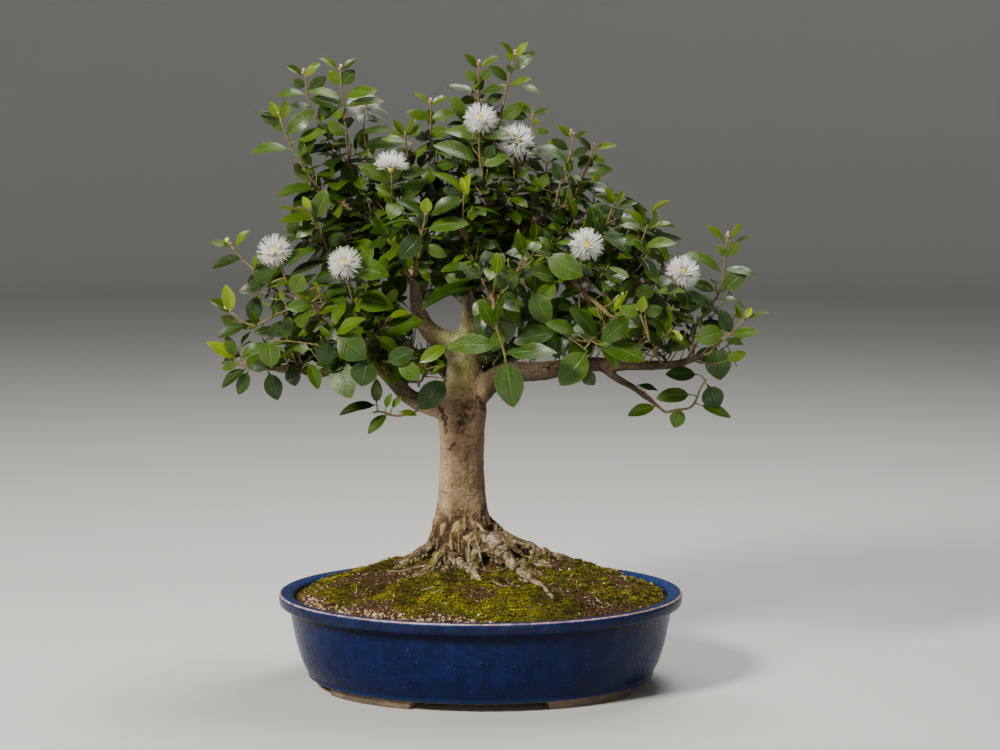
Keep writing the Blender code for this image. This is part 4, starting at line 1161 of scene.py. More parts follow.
def applied(made):
    """The object with its modifiers applied to its mesh."""
    bpy.context.view_layer.update()
    graph = bpy.context.evaluated_depsgraph_get()
    mesh = bpy.data.meshes.new_from_object(made.evaluated_get(graph))
    made.modifiers.clear()
    made.data = mesh
    return made


def stamp(shape, template, matrix, material_index=0, **values):
    """Adds a copy of a template mesh, placed by the matrix, with values such as its age."""
    copy = template.copy()
    copy.transform(matrix)
    for name, value in values.items():
        data = copy.attributes[name].data
        data.foreach_set("value", [value] * len(data))
    if material_index:
        use_material(copy, material_index)
    take_in(shape, copy)


def tube_sections(points, radii, sides):
    """Rings of corners round a route, which never twist."""
    sections = []
    side = (points[1] - points[0]).orthogonal().normalized()
    for i, (point, radius) in enumerate(zip(points, radii)):
        ahead = (points[min(i + 1, len(points) - 1)] - points[max(i - 1, 0)]).normalized()
        side = (side - ahead * side.dot(ahead)).normalized()
        other = ahead.cross(side)
        sections.append([
            point + (side * math.cos(turn) + other * math.sin(turn)) * radius
            for turn in (math.tau * k / sides for k in range(sides))
        ])
    return sections


def sweep(sections):
    """A closed shape through rings of corners."""
    shape = bmesh.new()
    face = shape.faces.new([shape.verts.new(corner) for corner in sections[0]])
    for section in sections[1:]:
        face = bmesh.ops.extrude_discrete_faces(shape, faces=[face])["faces"][0]
        for vert, corner in zip(face.verts, section):
            vert.co = corner
    bmesh.ops.holes_fill(shape, edges=[edge for edge in shape.edges if edge.is_boundary], sides=0)
    return shape


def tube_mesh(points, radii, sides, **values):
    """A closed round tube. Each value is a list with a number for every point of the route."""
    shape = sweep(tube_sections(points, radii, sides))
    for name in ("age", "tone"):
        layer = shape.verts.layers.float.new(name)
        shape.verts.ensure_lookup_table()
        for i, number in enumerate(values.get(name, ())):
            for vert in shape.verts[i * sides:(i + 1) * sides]:
                vert[layer] = number
    return mesh_from("tube", shape)


def blade_outline(along):
    """Half the width of a leaf at a share of its length: thin stalk, oval and pointed tip."""
    blade = max(0.0, (along - STALK) / (1.0 - STALK))
    oval = (4.0 * blade * (1.0 - blade)) ** 0.64
    point = 1.0 - 0.3 * max(0.0, (blade - 0.6) / 0.4)
    return max(0.5 * oval * point, 0.008 + 0.03 * (1.0 - along))


def closer_at_ends(even):
    """Moves the rows of faces of a leaf closer together at its stalk and at its tip."""
    return even - 0.055 * math.sin(math.tau * even)


def leaf_template(fold, curl, wave, twist, curl_in):
    """A blade one unit long and one wide, from its stalk along +X, with its upper side up."""
    blade = bmesh.new()
    bmesh.ops.create_grid(blade, x_segments=LEAF_ALONG, y_segments=LEAF_ACROSS, size=0.5)
    add_values(blade)
    chart = blade.loops.layers.uv.new("blade")
    for face in blade.faces:
        for loop in face.loops:
            loop[chart].uv = (closer_at_ends(loop.vert.co.x + 0.5), loop.vert.co.y + 0.5)
    for vert in blade.verts:
        along = closer_at_ends(vert.co.x + 0.5)
        across = 2.0 * vert.co.y
        half = blade_outline(along)
        rise = fold * abs(across) * half - curl_in * (abs(across) ** 2) * half
        rise += 0.035 * math.sin(math.pi * along) - curl * along ** 3
        waves = wave * math.sin(math.tau * 1.4 * along) * across * half
        rise += waves + twist * across * along * half
        vert.co = (along, across * half, rise)
    # The lower side is a copy of the upper one, a little below it and joined to it at the edge.
    under = blade.faces.layers.float.new("under")
    edge = [vert for vert in blade.verts if vert.is_boundary]
    copied = bmesh.ops.duplicate(blade, geom=blade.faces[:])["geom"]
    lower = [item for item in copied if isinstance(item, bmesh.types.BMFace)]
    lower_verts = list(dict.fromkeys(vert for face in lower for vert in face.verts))
    for vert in lower_verts:
        if not vert.is_boundary:
            vert.co.z -= BLADE_THICKNESS
    bmesh.ops.reverse_faces(blade, faces=lower)
    for face in lower:
        face[under] = 1.0
    lower_edge = [vert for vert in lower_verts if vert.is_boundary]
    bmesh.ops.remove_doubles(blade, verts=edge + lower_edge, dist=1e-5)
    for line in blade.edges:
        sides = {face[under] for face in line.link_faces}
        line.smooth = len(sides) == 1
    mesh = bpy.data.meshes.new("leaf")
    blade.to_mesh(mesh)
    blade.free()
    return mesh


def leaf_templates():
    """Young leaves, folded and straight, and grown ones, flatter and drooping."""
    draw = random.Random("leaf forms")
    kinds = {}
    for kind, fold, curl in (("young", 0.16, 0.03), ("grown", 0.1, 0.09)):
        kinds[kind] = [
            leaf_template(
                fold * draw.uniform(0.6, 1.35), curl * draw.uniform(0.2, 1.9) + 0.01,
                draw.uniform(-0.09, 0.09), draw.uniform(-0.12, 0.12), draw.uniform(0.0, 0.08),
            )
            for _ in range(LEAF_FORMS)
        ]
    return kinds


def leaf_matrix(leaf):
    length = leaf["length"]
    width = leaf["width"]
    frame_of_leaf = Matrix((leaf["ahead"] * length, -leaf["side"] * width, leaf["up"] * length))
    return Matrix.Translation(leaf["foot"]) @ frame_of_leaf.transposed().to_4x4()


def ball_template(segments, rings):
    ball = bmesh.new()
    add_values(ball)
    bmesh.ops.create_uvsphere(ball, u_segments=segments, v_segments=rings, radius=1.0)
    return mesh_from("ball", ball)


def twig_into(shape, stem, first, last, sides, marks):
    """A fine tapering twig, a little swollen where its leaves grow."""
    length = stem.end
    points = stem.route.between(0.0, length, 3.5)
    if stem.at_end:
        points[0] = points[0] - stem.route.heading(1.5) * 5.0
    radii = []
    ages = []
    for i in range(len(points)):
        distance = length * i / (len(points) - 1)
        swell = sum(0.28 * math.exp(-((distance - mark) / 1.3) ** 2) for mark in marks)
        radii.append(taper(first, last, distance, length) + swell)
        ages.append(min((stem.end - distance) / 70.0, 1.0))
    tube = tube_mesh(points, radii, sides, age=ages, tone=[0.5] * len(points))
    use_material(tube, 1)
    take_in(shape, tube)


def bud_into(shape, stem, ball):
    """A round flower bud on its cup at the end of a shoot, with smaller ones beside it."""
    ahead = stem.route.heading(stem.end)
    turned = ahead.to_track_quat("Z", "Y").to_matrix().to_4x4()
    end = stem.route.at(stem.end)
    yellow = stem.name in YELLOW_BUDS
    radius = YELLOW_BUDS.get(stem.name, BUD_RADIUS)
    cup = Matrix.Translation(end + ahead * 1.4) @ turned @ Matrix.Diagonal((0.9, 0.9, 2.2, 1.0))
    stamp(shape, ball, cup, 3, age=0.0, tone=0.5)
    top = end + ahead * (2.8 + radius)
    stamp(shape, ball, Matrix.Translation(top) @ Matrix.Scale(radius, 4), 2,
          age=0.0 if yellow else 1.0, tone=0.6)
    for turn in (0.8, 3.6):
        aside = turned @ Vector((math.cos(turn), math.sin(turn), 0.35))
        place = end + aside * 1.5 + ahead * 1.2
        stamp(shape, ball, Matrix.Translation(place) @ Matrix.Scale(0.7, 4), 2,
              age=0.0 if yellow else 0.8, tone=0.3)


def make_foliage(name, stems, leaves, forms, ball, node=None):
    """One leafy stem or the twigs of one limb: fine twigs, leaves and buds."""
    shape = bmesh.new()
    draw = random.Random("foliage " + name)
    for stem in stems:
        marks = leaf_marks(stem, leaves)
        if stem.name in LIMBS:
            twig_into(shape, stem, stem.first, 0.8 * stem.last, 10, ())
        elif stem.ending == "tip" and stem.first < 1.0:
            twig_into(shape, stem, 0.7, 0.42, 5, marks)
        else:
            twig_into(shape, stem, 1.15, 0.62, 7, marks)
        if stem.ending == "bud" or stem.name in YELLOW_BUDS:
            bud_into(shape, stem, ball)
    for leaf in leaves:
        kind = forms["young" if leaf["age"] < YOUNG else "grown"]
        stamp(shape, draw.choice(kind), leaf_matrix(leaf), age=leaf["age"], tone=draw.random())
    made = object_from(name, shape, [leaf_green, twig_bark, bud_petal, bud_cup])
    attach(made, "root")
    if node:
        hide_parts(node)
    return made


# Wood, soil and pot, in mm.
WOOD_STEP = 1.25  # size of the faces of the trunk
WOOD_SIDES = 20  # of the tubes that grow into it
ROOT_SHARE = (0.66, 0.8)  # how much thinner than the solid's a root is, at its start and end
FOOT_BARK_TOP = 150.0  # the crusted bark starts below this height
FOOT_BARK_FULL = 122.0
ROOTLETS = 46
LOOK_FROM = 150.0  # the height from which the wood or the soil below is found
POT_SIDES = 192
FOOT_TRIM = (6.0, 2.5)  # how far the ends of each foot are turned to the front or back, in degrees
# Half width and height of the rings of the wall: the outer side, with its low ridge and its
# rounded rim, then the inside.
POT_PROFILE = [
    (129.0, 7.0), (135.6, 7.0), (137.0, 7.6), (137.6, 8.8), (137.3, 10.2), (138.4, 12.4),
    (142.0, 19.5), (145.4, 30.0), (148.2, 42.0), (150.2, 53.0), (151.2, 61.0), (152.2, 63.2),
    (155.0, 63.7), (158.2, 64.2), (159.4, 65.2), (159.8, 67.0), (160.0, 70.6), (159.8, 72.2),
    (159.3, 73.1), (158.4, 73.6), (154.4, 73.3), (150.6, 72.8), (148.9, 72.0), (147.9, 70.6),
    (147.2, 68.0), (145.6, 52.0), (143.0, 36.0), (138.6, 23.0), (134.6, 16.6), (131.0, 15.0),
]
# Marks on the front of the trunk: x, z, half width and half height of each scar, its lean in
# degrees, its depth, and how dark it is painted, which stands partly for shade in its hollow.
SCARS = [
    (-21.0, 193.0, 1.0, 6.0, 40.0, 0.8, 1.0),
    (-24.5, 188.5, 2.6, 0.8, 0.0, 0.4, 0.9),
    (-9.5, 181.0, 3.6, 6.0, 12.0, 0.5, 0.42),
    (-23.0, 160.0, 1.6, 1.0, 0.0, 0.5, 1.0),
    (-14.0, 211.0, 4.6, 9.5, 8.0, 0.9, 0.92),
    (-11.0, 224.0, 7.4, 6.0, 20.0, 0.9, 0.85),
    (-29.5, 213.0, 3.4, 11.0, -14.0, 1.3, 1.0),
    (1.0, 224.0, 2.6, 10.0, -34.0, 0.8, 0.8),
    (-6.0, 213.0, 1.6, 6.0, 14.0, 0.6, 0.62),
    (-20.0, 234.0, 3.0, 5.0, 30.0, 0.5, 0.5),
    (-5.0, 172.0, 0.9, 1.4, 0.0, 0.4, 0.8),
    (-10.0, 199.0, 4.5, 1.1, 6.0, 0.4, 0.62),
    (-19.0, 204.0, 3.6, 0.9, -8.0, 0.4, 0.55),
]
# Hollows between the roots, carved deeper and painted dark as shade, seen from the front: x and z
# where the line of sight meets the trunk's plane, and radius.
HOLLOWS = [
    (-26, 124, 2.4), (-10, 108, 3.4), (-1.5, 101, 4.4), (4, 95, 4.2), (-23, 91, 3.6), (9, 124, 2.2),
    (19, 125, 2.0), (-39, 105, 3.4), (36, 104, 3.4), (61, 105, 3.6), (30, 108, 2.6), (-16, 99, 2.4),
]
PLATE_SIZE = 4.6  # of the plates of bark at the foot
# The front roots that are thinner still.
ROOT_SHARES = {1: (0.5, 0.6), 3: (0.36, 0.3), 5: (0.52, 0.5)}
# Radii of the left main limb at even steps along it, which tapers faster than the others.
LEFT_LEADER_RADII = [10.0, 9.0, 7.4, 5.8, 4.6, 3.8, 3.3, 2.9, 2.6, 2.4, 2.2]
MOSS_TUFTS = 2300
TUFT_FORMS = 6
TUFT_SHOOTS = 13  # in each tuft
CUSHION_SIZE = 7.5  # of the cushions that the moss grows in
GRIT_STONES = 1300
RIPPLE = 1.3  # height of the ripples in the mound
STONE_FORMS = 7
DEAD_TWIGS = 90
# Where the moss is bright and thick, or thin and brown: x, y, radius, and how much.
MOSS_PATCHES = [
    (-131, -4, 15, 0.7), (-118, 8, 14, 0.5), (-35, -86, 22, 0.6), (16, -100, 26, 0.7),
    (48, -94, 18, 0.4), (74, -48, 16, 0.5), (98, -34, 14, 0.3), (112, -44, 12, 0.4),
    (-86, -38, 22, -0.6), (-103, -14, 15, -0.5), (-68, -54, 14, -0.4), (79, -74, 13, -0.8),
    (56, -80, 10, -0.4), (100, -64, 13, -0.6), (-75, -24, 15, -0.5), (8, -76, 8, -0.4),
]
# Roots that run over the wood and the soil: their course, x and y, and the radius at each end.
SURFACE_ROOTS = [
    ([(6, -26), (19, -38), (30, -48), (38, -57), (47, -66), (52, -73), (56, -80)], 6.6, 1.1),
    ([(16, 3), (34, 5), (50, 7), (64, 8), (77, 11), (86, 17)], 2.6, 1.4),
    ([(-18, -28), (-14, -40), (-9, -50), (-4, -57), (0, -66)], 4.4, 2.4),
    ([(-20, -30), (-25, -40), (-30, -48), (-36, -56)], 3.0, 1.2),
    ([(-36, -8), (-48, -12), (-58, -15), (-66, -20), (-71, -28)], 3.4, 1.1),
    ([(6, -60), (12, -67), (20, -71), (34, -67)], 1.2, 0.6),
    ([(-33, -34), (-40, -42), (-51, -47), (-58, -47)], 1.5, 0.7),
    ([(10, -22), (28, -28), (44, -28), (60, -30)], 4.2, 2.0),
    ([(-8, 24), (-4, 44), (6, 60), (16, 74)], 3.4, 1.2),
    ([(-36, 14), (-52, 26), (-62, 40)], 3.2, 1.2),
    ([(16, 18), (34, 34), (56, 46)], 3.4, 1.2),
]


def oval(half_width, height):
    """A level ring of the pot."""
    points = []
    for k in range(POT_SIDES):
        turn = math.tau * k / POT_SIDES
        x = half_width * math.cos(turn)
        y = (half_width - OVAL_DIFFERENCE) * math.sin(turn)
        points.append(Vector((x, y, height)))
    return points


def soil_share(x, y, beyond=0.0):
    """The square of the way out over the soil, which is 1 along its edge or beyond it."""
    return (x / (SOIL_HALF_WIDTH + beyond)) ** 2 + (y / (SOIL_HALF_DEPTH + beyond)) ** 2


def dome(x, y):
    """Height of the mound of soil, highest at the trunk and lowest along the wall of the pot."""
    r2 = min(soil_share(x, y, 1.0), 1.0)
    ripple = RIPPLE * noise.noise(Vector((x, y, 0)) / 26.0) * min(1.0, 4 * (1 - r2))
    return SOIL_EDGE + SOIL_RISE * (1 - r2) ** 1.1 + ripple


# How high a root runs over the mound at each share of its length.
ROOT_RISES = [(0.08, 32.0), (0.20, 23.0), (0.36, 11.0), (0.60, 3.5), (0.84, 0.2), (1.0, -5.0)]


def root_route(x, y, bend):
    """From inside the foot of the trunk, down over the mound, and then under it."""
    start = Vector((TRUNK_X, 0, 0))
    reach = Vector((x, y, 0)) - start
    aside = reach.normalized().cross(Vector((0, 0, 1)))
    places = []
    for share, rise in ROOT_RISES:
        place = start + reach * share + aside * (bend * math.sin(math.pi * share * 1.5))
        place.z = dome(place.x, place.y) + rise
        places.append(place)
    return places


def wood_body(stems):
    """Trunk, main limbs and roots grown into one skin."""
    shape = bmesh.new()
    tubes = [(Route(TRUNK_ROUTE), TRUNK_RADII, None, None)]
    for k, (x, y, first, last, bend) in enumerate(ROOTS):
        thick, thin = ROOT_SHARES.get(k, ROOT_SHARE)
        tubes.append((Route(root_route(x, y, bend)), None, first * thick, last * thin))
    for stem in stems.values():
        if stem.piece == "trunk" and stem.name != "trunk":
            given = LEFT_LEADER_RADII if stem.name == "left_leader" else None
            tubes.append((stem.route, given, stem.first, stem.last))
    for route, given, first, last in tubes:
        points = route.between(0.0, route.length, 3.0)
        radii = []
        for i in range(len(points)):
            share = i / (len(points) - 1)
            if given:
                at = share * (len(given) - 1)
                low = min(int(at), len(given) - 2)
                radii.append(given[low] + (given[low + 1] - given[low]) * (at - low))
            else:
                radii.append(first + (last - first) * share)
        tube = tube_mesh(points, radii, WOOD_SIDES)
        take_in(shape, tube)
    wood = object_from("trunk_wood", shape, [])
    remesh = wood.modifiers.new("one_skin", "REMESH")
    remesh.mode = "VOXEL"
    remesh.voxel_size = WOOD_STEP * MM
    melt = wood.modifiers.new("melt", "SMOOTH")
    melt.factor = 0.5
    melt.iterations = 5
    return applied(wood)


def root_marks():
    """Points along the roots with the distance along each, to tell where its bark cracks."""
    found = []
    for k, (x, y, first, last, bend) in enumerate(ROOTS):
        route = Route(root_route(x, y, bend))
        for i in range(int(route.length)):
            found.append((route.at(i), k, float(i), taper(first, last, i, route.length)))
    return found


def root_cracks():
    """Where the bark of each root has split across it."""
    cracks = []
    for k in range(len(ROOTS)):
        draw = random.Random(f"cracks {k}")
        at = draw.uniform(14, 22)
        own = []
        while at < 120:
            own.append((at, draw.uniform(0.5, 1.0), draw.uniform(0.7, 1.2)))
            at += draw.uniform(4.0, 15.0)
        cracks.append(own)
    return cracks


def scar_depth(place):
    """How deep the scars on the front of the trunk are here, and how dark they are painted, partly
    as shade.
    """
    deep = dark = 0.0
    if place.y > 0.0:
        return deep, dark
    for x, z, half_width, half_height, lean, depth, darkness in SCARS:
        turn = math.radians(lean)
        dx = place.x - x
        dz = place.z - z
        across = (dx * math.cos(turn) - dz * math.sin(turn)) / half_width
        along = (dx * math.sin(turn) + dz * math.cos(turn)) / half_height
        ragged = 0.9 * noise.noise(place / 3.4) + 0.6 * noise.noise(place / 1.6)
        here = 1.0 - smoothstep(0.45, 1.15, math.hypot(across, along) + ragged)
        deep = max(deep, here * depth)
        dark = max(dark, here * darkness)
    return deep, dark


def plate_of_bark(place, size):
    """How far this place is from the edge of its plate of bark, and a number for the plate."""
    bent = place / size + noise.noise_vector(place / (1.5 * size)) * 0.75
    away, centres = noise.voronoi(bent)
    return away[1] - away[0], centres[0].dot(Vector((17.3, 29.1, 41.7))) % 1.0


def hollow_depth(place):
    """How deep the hollows between the roots are here."""
    if place.y > 12.0 or place.z > 135.0:
        return 0.0
    x, z = seen_from_front(place)
    ragged = 0.35 * noise.noise(place / 2.4)
    deep = 0.0
    for a, b, radius in HOLLOWS:
        deep = max(deep, 1.0 - smoothstep(0.45, 1.15, math.hypot(x - a, z - b) / radius + ragged))
    return deep


def carve_bark(wood):
    """Flutes, lumps, crust, cracks and scars, and the attributes that colour them."""
    mesh = wood.data
    tree = KDTree(len(marks_of_roots))
    for i, (place, _, _, _) in enumerate(marks_of_roots):
        tree.insert(place, i)
    tree.balance()
    cracks = root_cracks()
    values = {name: [] for name in ("crust", "dark", "moss", "root", "pale")}
    moved = []
    for vert in mesh.vertices:
        place = vert.co / MM
        ragged = place.z + 9.0 * noise.noise(place / 11.0)
        crust = 1.0 - smoothstep(FOOT_BARK_FULL, FOOT_BARK_TOP, ragged)
        _, i, away = tree.find(place)
        _, k, along, radius = marks_of_roots[i]
        out = math.hypot(place.x - TRUNK_X, place.y)
        radius *= ROOT_SHARE[0]
        on_root = smoothstep(25.0, 33.0, out) * (1.0 - smoothstep(1.15, 1.5, away / radius))
        hollow = crust * smoothstep(23.0, 31.0, out) * smoothstep(1.2, 1.6, away / radius)
        thick = smoothstep(5.0, 12.0, out) if place.z < 240 else 0.2
        lift = 0.9 * noise.noise(Vector((place.x / 9, place.y / 9, place.z / 42))) * thick
        lift += 0.35 * noise.noise(place / 6.5) + 0.12 * noise.noise(place / 2.6)
        drawn_out = Vector((place.x / 4.2, place.y / 4.2, place.z / 7.5))
        rough = noise.noise(drawn_out + Vector((9, 3, 5)))
        finer = noise.noise(place / 1.9)
        crumble = 1.0 - 0.5 * on_root
        lift += crust * crumble * (2.2 * abs(rough) - 0.8 + 0.5 * finer) - 1.8 * hollow
        upright = 0.5 + 0.4 * on_root
        edge, own = plate_of_bark(Vector((place.x, place.y, place.z * upright)), PLATE_SIZE)
        gap = (1.0 - smoothstep(0.03, 0.2, edge)) * crust
        lift += crust * crumble * (2.3 * own - 0.9) - 1.2 * gap * crumble
        pocket = hollow_depth(place)
        lift -= 3.2 * pocket
        pits = smoothstep(0.13, 0.0, abs(rough)) * crust * crumble
        split = 0.0
        if on_root > 0.0:
            along += 1.3 * noise.noise(place / 4.0)
            for at, depth, width in cracks[k]:
                split = max(split, depth * math.exp(-((along - at) / (0.7 * width)) ** 2))
            step = next((at for at, _, _ in cracks[k] if at > along), 0.0)
            lift += on_root * (0.25 * math.sin(step * 3.7) - 0.5 * split)
        deep, dark = scar_depth(place)
        lift -= deep
        upward = vert.normal.z
        ground = dome(place.x, place.y)
        low = 1.0 - smoothstep(2.0, 11.0, place.z - ground)
        growth = noise.noise(place / 9.0 + Vector((2, 7, 1)))
        moss = low * smoothstep(-0.15, 0.35, growth + 0.5 * (1 - on_root) - 0.2)
        moss = max(moss, crust * smoothstep(0.28, 0.5, growth) * smoothstep(0.0, 0.5, upward))
        shaded = smoothstep(230, 242, place.z) * (1.0 - smoothstep(282, 298, place.z))
        left = smoothstep(0, -12, place.x)
        moss = max(moss, 0.62 * shaded * smoothstep(-0.5, 0.25, growth) * left)
        moved.append(vert.co + vert.normal * (lift * MM))
        values["crust"].append(crust)
        # Painted shade in the splits, pits, gaps between plates and hollows between roots, added to
        # the darkness of the scars.
        shade_in_clefts = 0.95 * split * on_root + 0.6 * pits + 0.85 * hollow + 0.9 * gap * crumble
        values["dark"].append(min(0.96, dark + shade_in_clefts + pocket))
        values["moss"].append(moss)
        values["root"].append(on_root)
        values["pale"].append(own + (0.42 + 0.5 * own - own) * on_root + 0.12 * finer)
    mesh.vertices.foreach_set("co", [part for place in moved for part in place])
    for name, numbers in values.items():
        mesh.attributes.new(name, "FLOAT", "POINT").data.foreach_set("value", numbers)
    mesh.update()
    mesh.shade_smooth()


def surface_tree(made):
    mesh = made.data
    corners = [vert.co / MM for vert in mesh.vertices]
    return BVHTree.FromPolygons(corners, [face.vertices[:] for face in mesh.polygons])


def ground_at(wood_tree, x, y):
    """Height of the wood or the soil here, whichever is higher, and whether it is wood."""
    soil = dome(x, y)
    hit, _, _, _ = wood_tree.ray_cast(Vector((x, y, LOOK_FROM)), Vector((0, 0, -1)))
    if hit and hit.z > soil:
        return hit.z, True
    return soil, False


def weather(root, rough, pale):
    """Lumps, plates and pits in the bark of a root, and the attributes that colour them."""
    lifts = []
    tones = []
    wholes = []
    for vert, whole in zip(root.vertices, root.attributes["age"].data):
        edge, own = plate_of_bark(vert.co, 0.8 * PLATE_SIZE)
        gap = 1.0 - smoothstep(0.03, 0.16, edge)
        lump = 1.1 * noise.noise(vert.co / 5.0) + 0.6 * noise.noise(vert.co / 2.2)
        lifts.append(vert.co + vert.normal * (rough * (lump + 0.7 * own - 0.35 - 0.6 * gap)))
        tone = (0.65 * own + 0.5 * noise.noise(vert.co / 9.0)) * (1.0 - pale)
        tones.append(min(max(tone, 0.0), 1.0))
        # Darker in the gaps between plates, as painted shade.
        wholes.append(whole.value * (1.0 - 0.75 * gap))
    root.vertices.foreach_set("co", [part for place in lifts for part in place])
    root.attributes["tone"].data.foreach_set("value", tones)
    root.attributes["age"].data.foreach_set("value", wholes)


def make_rootlets(wood_tree):
    """Roots that run down the foot of the trunk and over the soil."""
    draw = random.Random("rootlets")
    shape = bmesh.new()
    for course, first, last in SURFACE_ROOTS:
        route = Route([(x, y, 0.0) for x, y in course])
        points = route.between(0.0, route.length, 1.2)
        count = len(points)
        heights = [ground_at(wood_tree, point.x, point.y)[0] for point in points]
        radii = []
        whole = []
        for i, point in enumerate(points):
            near = heights[max(i - 3, 0):i + 4]
            radius = first + (last - first) * i / (count - 1)
            radius *= 1.0 + 0.22 * noise.noise(point / 4.0)
            # Narrow bites round the root, made thinner and painted dark as shade.
            bite = max(0.0, math.sin(i * 0.8 + 3.0 * noise.noise(point / 7.0))) ** 10
            radii.append(radius * (1.0 - 0.2 * bite))
            whole.append(1.0 - bite)
            point.z = sum(near) / len(near) + radius * 0.35
            point.z += 0.5 * noise.noise(point / 5.0)
        points[0].z -= 3.0
        points[-1].z -= last * 1.6
        tube = tube_mesh(points, radii, 16, age=whole, tone=[0.0] * count)
        weather(tube, min(1.0, first / 4.0), 0.6 if first > 4.0 else 0.2)
        take_in(shape, tube)
    for number in range(ROOTLETS):
        turn = math.tau * (number + draw.random()) / ROOTLETS
        out = draw.uniform(22.0, 34.0)
        reach = out + draw.uniform(16.0, 44.0)
        radius = draw.uniform(0.55, 1.5)
        points = []
        swing = draw.uniform(-0.9, 0.9)
        while out < reach:
            x = TRUNK_X + out * math.cos(turn)
            y = out * math.sin(turn)
            height, _ = ground_at(wood_tree, x, y)
            points.append(Vector((x, y, height + radius * 0.3)))
            swing += draw.uniform(-0.5, 0.5)
            turn += 0.045 * swing
            out += 2.2
        points[0].z -= 2.0
        points[-1].z -= 2.5
        count = len(points)
        smooth = [
            (points[max(i - 1, 0)] + points[i] * 2 + points[min(i + 1, count - 1)]) / 4
            for i in range(count)
        ]
        radii = [radius * (1.0 - 0.65 * i / (count - 1)) for i in range(count)]
        tube = tube_mesh(smooth, radii, 6, age=[1.0] * count, tone=[draw.random()] * count)
        take_in(shape, tube)
    made = object_from("rootlets", shape, [rootlet_bark])
    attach(made, "root")


def moss_patch(x, y):
    """Above 0 where the moss is bright and thick, and below it where it is thin and brown."""
    total = 0.0
    for a, b, radius, strength in MOSS_PATCHES:
        total += strength * math.exp(-((x - a) ** 2 + (y - b) ** 2) / radius ** 2)
    return total


def cushion(x, y):
    """From 1 on top of a cushion of moss to 0 in the gaps between them."""
    place = Vector((x, y, 0)) / CUSHION_SIZE
    away, _ = noise.voronoi(place + noise.noise_vector(place * 0.8) * 0.5)
    return 1.0 - smoothstep(0.12, 0.72, away[0])


def mossy(x, y):
    """How thickly moss covers the soil here: in patches, less along the rim at the front left."""
    place = Vector((x, y, 0))
    cover = noise.noise(place / 24.0 + Vector((3, 8, 0))) + 0.5 * noise.noise(place / 9.0)
    cover += 0.5 * moss_patch(x, y)
    r2 = soil_share(x, y)
    bare = smoothstep(0.74, 0.97, r2) * smoothstep(30.0, -30.0, x) * smoothstep(10.0, -40.0, y)
    near = 1.0 - smoothstep(30.0, 60.0, math.hypot(x - TRUNK_X, y))
    return smoothstep(-0.32, 0.2, cover + 0.12 - 0.85 * bare - 0.25 * near)


def moss_light(x, y):
    """How bright the moss is: in patches, and brightest on top of its cushions, which is painted
    light.
    """
    place = Vector((x, y, 4.0))
    wide = 0.5 * noise.noise(place / 17.0) + 0.25 * noise.noise(place / 7.0)
    return min(max(0.3 + wide + 0.5 * moss_patch(x, y) + 0.35 * cushion(x, y), 0.0), 1.0)


def soil_height(x, y):
    place = Vector((x, y, 0))
    moss = mossy(x, y)
    rise = moss * (0.2 + 0.6 * noise.noise(place / 6.0) + 2.5 * cushion(x, y))
    rise += 0.4 * noise.noise(place / 3.1)
    clods = 0.7 * (1 - moss) * noise.noise(place / 2.0)
    r2 = soil_share(x, y)
    height = dome(x, y) + (rise + clods) * smoothstep(1.0, 0.93, r2)
    return height - 0.5 * smoothstep(0.93, 1.0, r2)


def make_soil():
    """The mound of soil, closed below where it fills the pot."""
    shape = bmesh.new()
    bmesh.ops.create_grid(shape, x_segments=150, y_segments=128, size=1.0)
    moss = shape.verts.layers.float.new("moss")
    light = shape.verts.layers.float.new("light")
    half_width = SOIL_HALF_WIDTH - 0.1
    half_depth = SOIL_HALF_DEPTH - 0.1
    for vert in shape.verts:
        u, v = vert.co.x, vert.co.y
        x = half_width * u * math.sqrt(1 - v * v / 2)
        y = half_depth * v * math.sqrt(1 - u * u / 2)
        vert.co = (x, y, soil_height(x, y))
        vert[moss] = mossy(x, y)
        vert[light] = moss_light(x, y)
    edges = [edge for edge in shape.edges if edge.is_boundary]
    for width, height in ((142.6, 36.0), (130.6, FLOOR_TOP + GAP)):
        corners, edges = draw_out(shape, edges)
        for vert in corners:
            turn = math.atan2(vert.co.y / half_depth, vert.co.x / half_width)
            vert.co = (width * math.cos(turn), (width - OVAL_DIFFERENCE) * math.sin(turn), height)
    bmesh.ops.holes_fill(shape, edges=edges, sides=0)
    made = object_from("soil_mound", shape, [earth])
    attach(made, "root")
    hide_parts("soil")


def moss_templates():
    """Small cushions of upright pointed leaves."""
    draw = random.Random("moss")
    made = []
    for _ in range(TUFT_FORMS):
        tuft = bmesh.new()
        add_values(tuft)
        for _ in range(TUFT_SHOOTS):
            height = draw.uniform(1.1, 2.6)
            before = len(tuft.verts)
            lean = Matrix.Rotation(draw.uniform(0, math.tau), 4, "Z") @ Matrix.Rotation(
                draw.uniform(0.0, 0.9), 4, "X")
            foot = Vector((draw.gauss(0, 1.1), draw.gauss(0, 1.1), 0.0))
            bmesh.ops.create_cone(
                tuft, cap_ends=True, segments=3, radius1=0.44, radius2=0.0, depth=height,
                matrix=Matrix.Translation(foot) @ lean @ Matrix.Translation((0, 0, height * 0.4)),
            )
            layer = tuft.verts.layers.float["age"]
            for vert in list(tuft.verts)[before:]:
                vert[layer] = min(max(vert.co.z / 2.4, 0.0), 1.0)
        made.append(mesh_from("moss", tuft))
    return made


def stone_templates():
    """Angular grains of grit."""
    draw = random.Random("stones")
    made = []
    for _ in range(STONE_FORMS):
        stone = bmesh.new()
        bmesh.ops.create_icosphere(stone, subdivisions=1, radius=1.0)
        add_values(stone)
        for vert in stone.verts:
            vert.co *= draw.uniform(0.72, 1.15)
        flat = Matrix.Diagonal((1.0, draw.uniform(0.6, 0.95), draw.uniform(0.45, 0.8)))
        bmesh.ops.transform(stone, matrix=flat.to_4x4(), verts=stone.verts)
        made.append(mesh_from("stone", stone))
    return made


